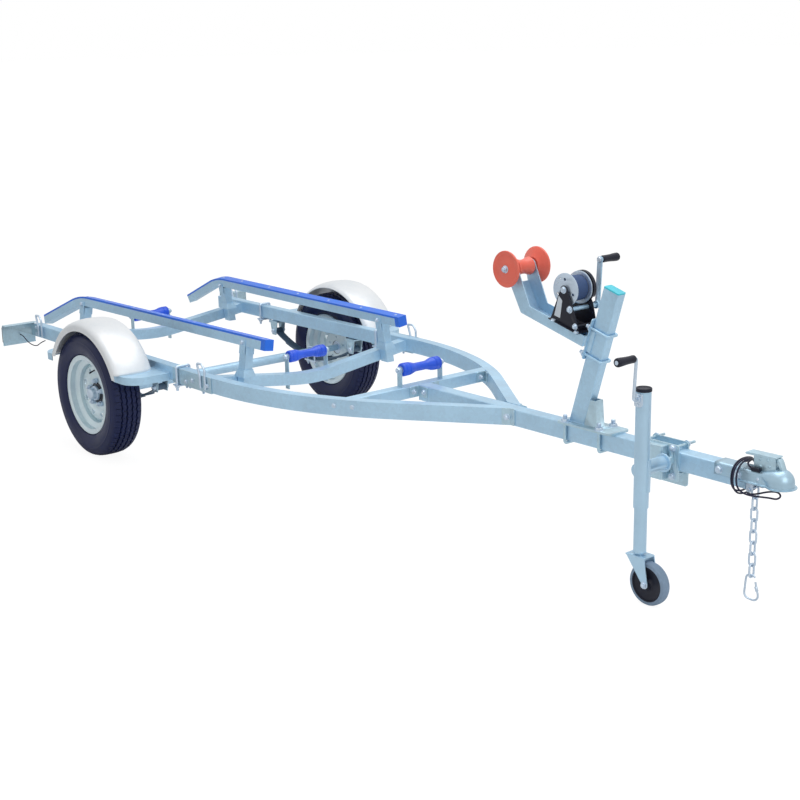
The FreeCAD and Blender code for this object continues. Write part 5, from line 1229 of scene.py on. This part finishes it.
def half_section(x):
    """From the lip's edge up the side and over the shoulder to the crown. The swell comes later low down."""
    turn = np.linspace(0, np.pi / 2, 9)
    high = np.array([0, 0.02, 0.06, 0.12, 0.35, 0.6] + [1] * 14)
    swell = step(x, 3162 - 34 * high, 3189)
    width = 34 + (DOME_R - 34) * swell
    top = 476 + (DOME_Z + DOME_R - 476) * swell
    corner = 10 + (DOME_R - 10) * swell
    lip = 8 * step(x, 3046, 3066)
    shoulder = top - corner
    wall = np.array([0, 0.02, 0.06, 0.12, 0.45, 0.8])
    out = np.array([1, 0.98, 0.45, 0.1, 0, 0])
    y_wall = width[:6] + lip * out
    z_wall = LIP_Z + wall * (shoulder[:6] - LIP_Z) + [0, 1.6, 1.6, 1.6, 0, 0]
    y_arc = width[6:15] - corner[6:15] * (1 - np.cos(turn))
    z_arc = shoulder[6:15] + corner[6:15] * np.sin(turn)
    share = np.linspace(0.8, 0, 5)
    y_flat = share * (width[15:] - corner[15:])
    return np.concatenate([y_wall, y_arc, y_flat]), np.concatenate([z_wall, z_arc, top[15:]])


def pressed_shell():
    runs = ((2960, 3040, 5), (3046, 3070, 7), (3080, 3124, 6), (3128, BALL_X, 24))
    rows = []
    for x in np.concatenate([np.linspace(*run) for run in runs]):
        y, z = half_section(x)
        near = grid(x, -y, z)
        rows.append(np.vstack([near, (near * [1, -1, 1])[-2::-1]]))
    body = quads(np.array(rows))
    y, z = half_section(BALL_X)
    bearing = np.linspace(-np.pi / 2, np.pi / 2, 37)[:, None]
    return [body, quads(grid(BALL_X + y * np.cos(bearing), y * np.sin(bearing), z))]


shell = piece("coupler_pressed_shell", pressed_shell(), coupler_steel, ["coupler", "coupler_head"],
              sharp=42)
sheet(shell, 0.0035)
print("coupler shell", len(shell.data.polygons), "faces")

# %% [markdown]
# ## Inside and on top of the coupler
#
# Under the dome is the cup that grips the ball, and on top stands the latch: two side plates,
# a lever and a bent tongue. They are flat outlines with a thickness, and turned rivets.

# %% Socket, lugs, bolts and latch
CUP_IN, CUP_OUT = 25.2, 29
angle = np.linspace(0, np.pi / 2 * 0.96, 14)
bowl = np.column_stack([np.sin(angle), np.cos(angle)])
foot = LIP_Z - BALL_Z
cup = [[(foot, CUP_IN)], CUP_IN * bowl, [(26, 0), (29, 0)], CUP_OUT * bowl[::-1],
       [(foot, CUP_OUT), (foot, CUP_IN)]]
coupler_parts = [lathe(np.vstack(cup), (BALL_X, 0, BALL_Z), Z, 40)]
for y in (-34, 30):
    coupler_parts.append(slab(panel((3086, y, 436), (3110, y, 403), 7, 6), Y, 4, 0.6))
pin = [(-40, 0), (-40, 5.6), (-36, 5.6), (-35, 4), (35, 4), (36, 5.6), (40, 5.6), (40, 0)]
coupler_parts.append(lathe(pin, (CHAIN[0], 0, 412), Y, 20))
for side in (-1, 1):
    for x in (2980, 3052):
        coupler_parts += bolt((x, side * 34, 452), side * Y, 20.5, 10, 3 if side > 0 else 0)
    rivet = [(0, 0), (0, 6), (1.5, 5.4), (3, 3.4), (3.4, 0)]
    coupler_parts.append(lathe(rivet, (3128, side * 34, 452), side * Y, 20))
piece("coupler_bolts", coupler_parts, bright_zinc)

SIDE_PLATE = [(3100, 474), (3182, 474), (3178, 526), (3097, 522)]
FILLING = [(3104, 476), (3176, 476), (3173, 520), (3102, 517)]
LEVER = [(3070, 529), (3066, 524.5), (3070, 521), (3179, 525.5), (3182, 527.5), (3180, 531)]
TONGUE = [(3176, 524), (3186, 526), (3193, 515), (3204, 488), (3196, 486), (3186, 506), (3176, 518)]
latch_parts = [side_plate(SIDE_PLATE, y, 2.5, 0.4, 4, 5) for y in (-16, 13.5)]
latch_parts += [side_plate(FILLING, -13.6, 27.2, 0.4), side_plate(LEVER, -19, 38, 0.7),
                side_plate(TONGUE, -11, 22, 0.6, 2.5, 4)]
for x, z in ((3122, 514), (3150, 516), (3124, 492), (3158, 497)):
    for side in (-1, 1):
        rivet = [(0, 0), (0, 4.6), (1, 4.2), (2.4, 2.6), (2.8, 0)]
        latch_parts.append(lathe(rivet, (x, side * 16, z), side * Y, 18))
piece("coupler_latch_riveted", latch_parts, galvanised_plate, ["coupler_latch"])
print("latch parts", len(latch_parts))

# %% [markdown]
# ## Fenders
#
# A fender is rolled from sheet. Its cross-section is one line: from the inner edge over the
# crest, down the outer face and round a rolled edge. Each point of that line is turned about
# the fender's own axis, as far as the plane of the tray, so the feet come out level.

# %% Rolled fenders
FENDER = np.array([56, 0, 290])
FENDER_IN, FENDER_OUT, CREST_R = 600, 790, 353


def fender():
    """Place = axis + radius x (sine, cosine) of the turn. The turn ends where the height is the foot's."""
    share = np.array([0, 0.08, 0.25, 0.5, 0.74, 0.90, 0.975, 1])
    drop = np.array([27, 12, 3, 0, 3, 10, 18, 27])
    line = smooth(np.column_stack([FENDER_IN + share * (FENDER_OUT - FENDER_IN), CREST_R - drop]), 4)
    edge = np.array([[790, 322], [790, 312], [790.4, 306.5], [789.8, 303.4], [787.4, 302.6], [785.6, 304.6],
                     [786, 308]])
    line = np.vstack([line, edge])
    y, radius = line.T
    front_foot = np.where((radius < 328) & (y > 700), 418, 440)
    front = np.arccos((front_foot - FENDER[2]) / radius)
    rear = -np.arccos((440 - FENDER[2]) / radius)
    turn = rear + np.linspace(0, 1, 73)[:, None] * (front - rear)
    points = grid(FENDER[0] + radius * np.sin(turn), y, FENDER[2] + radius * np.cos(turn))
    return quads(points)


for name, part in (("left", fender()), ("right", mirrored(fender()))):
    made = piece("fender_rolled_" + name, [part], pressed_fender, ["fender_" + name], sharp=44)
    sheet(made, 0.0026)
print("fender faces", len(made.data.polygons))

# %% [markdown]
# ## Tail lamps
#
# A moulded lens has fine upright ribs inside that scatter the light. They are part of the
# height of a grid here: its depth is a small sine of the distance along the lamp.

# %% Lamps
def lamp_parts():
    """A body whose outline is carried back and in, and a lens with ribs 0.5 mm high and 5 mm apart."""
    rings = [(0, 2), (1, 2), (1, -18), (0.985, -20), (0.93, -20), (0.93, -14), (0, -14)]
    outline = panel((-902, 591, 384), (-902, 727, 470), 10, 6)
    body = carried(outline, [(share, ahead * X) for share, ahead in rings])
    y, z = np.linspace(596, 722, 127), np.linspace(389, 465, 16)
    inside = np.minimum(np.minimum(y - 596, 722 - y)[None, :], np.minimum(z - 389, 465 - z)[:, None])
    bulge = 12 * (1 - np.exp(-inside / 4)) + 0.5 * np.cos(2 * np.pi * y / 5)[None, :] * (inside > 5)
    split = (np.abs(y - 676) < 1.2)[None, :] | (np.abs(y - 634) < 1.2)[None, :]
    front = grid(-918 - np.where(split, bulge * 0.8, bulge), y, z[:, None])
    return body, quads(front)


lamp_body, lamp_lens = lamp_parts()
piece("tail_lamp_bodies", both_sides([lamp_body]), black_plastic, ["tail_lamps"])
lens = piece("tail_lamp_lenses", both_sides([lamp_lens]), red_lens, sharp=50)
sheet(lens, 0.0025)
lamp_screws = [lathe([(0, 0), (0, 3.6), (1, 3.2), (2, 1.6), (2, 0)], (-897, y, z), X, 14)
               for y in (615, 700) for z in (400, 454)]
piece("tail_lamp_screws", both_sides(lamp_screws), bright_zinc)
print("lamp lens faces", len(lens.data.polygons))

# %% [markdown]
# ## Tie-down loops and axle clamps
#
# Both are bent from round bar, so each is one path with rounded corners.

# %% Bent bars
bars = []
LOOP = [(-12, 417), (-12, 466), (-32, 522), (6, 524), (26, 500), (26, 417)]
for x in (734, -790):
    bars.append(rod(bent([(x + ahead, 583, z) for ahead, z in LOOP], 9, 6), 5, Y, 12))
piece("tie_loops_bent", both_sides(bars), bright_zinc, ["tie_loops"])

clamp_parts = [flat_bar(-45, 45, SPRING_Y - 40, SPRING_Y + 40, 242, 250)]
for y in (SPRING_Y - 28, SPRING_Y + 28):
    u_line = bent([(-27.5, y, 226), (-27.5, y, 315), (27.5, y, 315), (27.5, y, 226)], 20, 8)
    clamp_parts.append(rod(u_line, 5, Y, 12))
piece("axle_clamps_bent", both_sides(clamp_parts), bright_zinc, ["axle_clamps"])
print("bent bars", 2 * len(bars))

# %% [markdown]
# ## Welds
#
# A weld is a bead of overlapping ripples. Its path is the joint's line, and its thickness
# swells and shrinks once for each ripple.

# %% Weld beads
def bead(start, end, radius=2.6, ripple=4.5):
    """A bar from start to end whose radius changes by 12 per cent once a ripple."""
    start, end = np.array(start, float), np.array(end, float)
    length = np.linalg.norm(end - start)
    count = max(6, int(4 * length / ripple))
    share = np.linspace(0, 1, count)
    size = radius * (1 + 0.12 * np.cos(2 * np.pi * share * length / ripple))
    size[[0, -1]] *= 0.05
    u, v, w = across(end - start)
    angle = around(8)
    ring = np.cos(angle)[:, None] * u + np.sin(angle)[:, None] * v
    points = start + share[:, None, None] * (end - start) + size[:, None, None] * ring
    return quads(points, wrap_cols=True)


# where a cross member meets the rail's inner side, then the hangers and the fender trays on the rail
WELDS = [((x, 529, 410), (x, 529, 459)) for x in (695, 745, -685, -635)]
WELDS += [((x0, y, z), (x1, y, z)) for x0, x1, y, z in (
    (-362, -298, 576, 404), (298, 362, 576, 404), (312, 458, 574.5, 441), (-380, -264, 574.5, 441))]
beads = both_sides([bead(start, end) for start, end in WELDS])
edge = np.array([35 / math.cos(POST_LEAN), 20])
foot = [(2342 + sx * edge[0], sy * edge[1], 481) for sx, sy in ((-1, -1), (1, -1), (1, 1), (-1, 1))]
beads += [bead(foot[k], foot[(k + 1) % 4], 2.8) for k in range(4)]
piece("weld_beads", beads, galvanised_tube)
print("welds", len(beads))

# %% [markdown]
# ## Solids that keep their own mesh
#
# The axle, the pressed wheels and the small plug have the right shape already, so they only
# take a finish.

# %% Finishes on the remaining solids
PLAIN_FINISHES = {
    "axle_beam": galvanised_tube,
    "cable_plug": black_plastic,
    "rim_left": wheel_silver,
    "rim_right": wheel_silver,
}
for node, finish in PLAIN_FINISHES.items():
    solid = frame["nodes"][node]
    solid.data.materials.clear()
    solid.data.materials.append(finish.material)
print("plain pieces", len(PLAIN_FINISHES))

# %% [markdown]
# ## The studio
#
# A wide pale floor, a white world and soft lamps. The floor shows white to the camera and
# still takes the trailer's shadow.

# %% Floor, world and lamps
floor_finish = Finish("studio_floor", "", rgb(250, 250, 250), roughness=0.9)
path = floor_finish.node("ShaderNodeLightPath", {}, {}, "Is Camera Ray")
glow = floor_finish.node("ShaderNodeEmission", {}, {"Color": (1, 1, 1, 1), "Strength": 1.15})
surface = Wire(floor_finish, floor_finish.shader.outputs[0])
mixed = floor_finish.node("ShaderNodeMixShader", {}, {0: path * 0.8, 1: surface, 2: glow})
floor_finish.plug(floor_finish.tree.nodes["Material Output"].inputs["Surface"], mixed)

floor_mesh = bpy.data.meshes.new("floor")
FLOOR = 400.0
floor_mesh.from_pydata([(-FLOOR, -FLOOR, 0), (FLOOR, -FLOOR, 0), (FLOOR, FLOOR, 0), (-FLOOR, FLOOR, 0)], [],
                       [(0, 1, 2, 3)])
floor_mesh.materials.append(floor_finish.material)
linked("floor", floor_mesh)

world = bpy.data.worlds.new("studio")
bpy.context.scene.world = world
world.use_nodes = True
studio = Tree(world.node_tree)
sky = world.node_tree.nodes["Background"]
sky.inputs["Color"].default_value = (1, 1, 1, 1)
seen = studio.node("ShaderNodeLightPath", {}, {}, "Is Camera Ray")
mirrored_ray = studio.node("ShaderNodeLightPath", {}, {}, "Is Glossy Ray")
studio.plug(sky.inputs["Strength"], 0.42 + seen.math("MAXIMUM", mirrored_ray * 0.8) * 0.58)


def lamp(name, place, target, size, power):
    """A square area lamp that points from its place to its target."""
    data = bpy.data.lights.new(name, "AREA")
    data.shape = "SQUARE"
    data.size = size
    data.energy = power
    source = linked(name, data)
    source.location = place
    source.rotation_euler = (Vector(target) - Vector(place)).to_track_quat("-Z", "Y").to_euler()


lamp("lamp_over", (0.5, 0.5, 5.0), (0.3, 0.0, 0.3), 4.5, 138.0)
lamp("lamp_front", (5.5, -1.0, 3.0), (0.5, 0.0, 0.4), 3.0, 46.0)
print("lamps 2")

# %% [markdown]
# ## Last things
#
# The colour transform is plain.

# %% Finish
bpy.context.scene.view_settings.view_transform = "Standard"
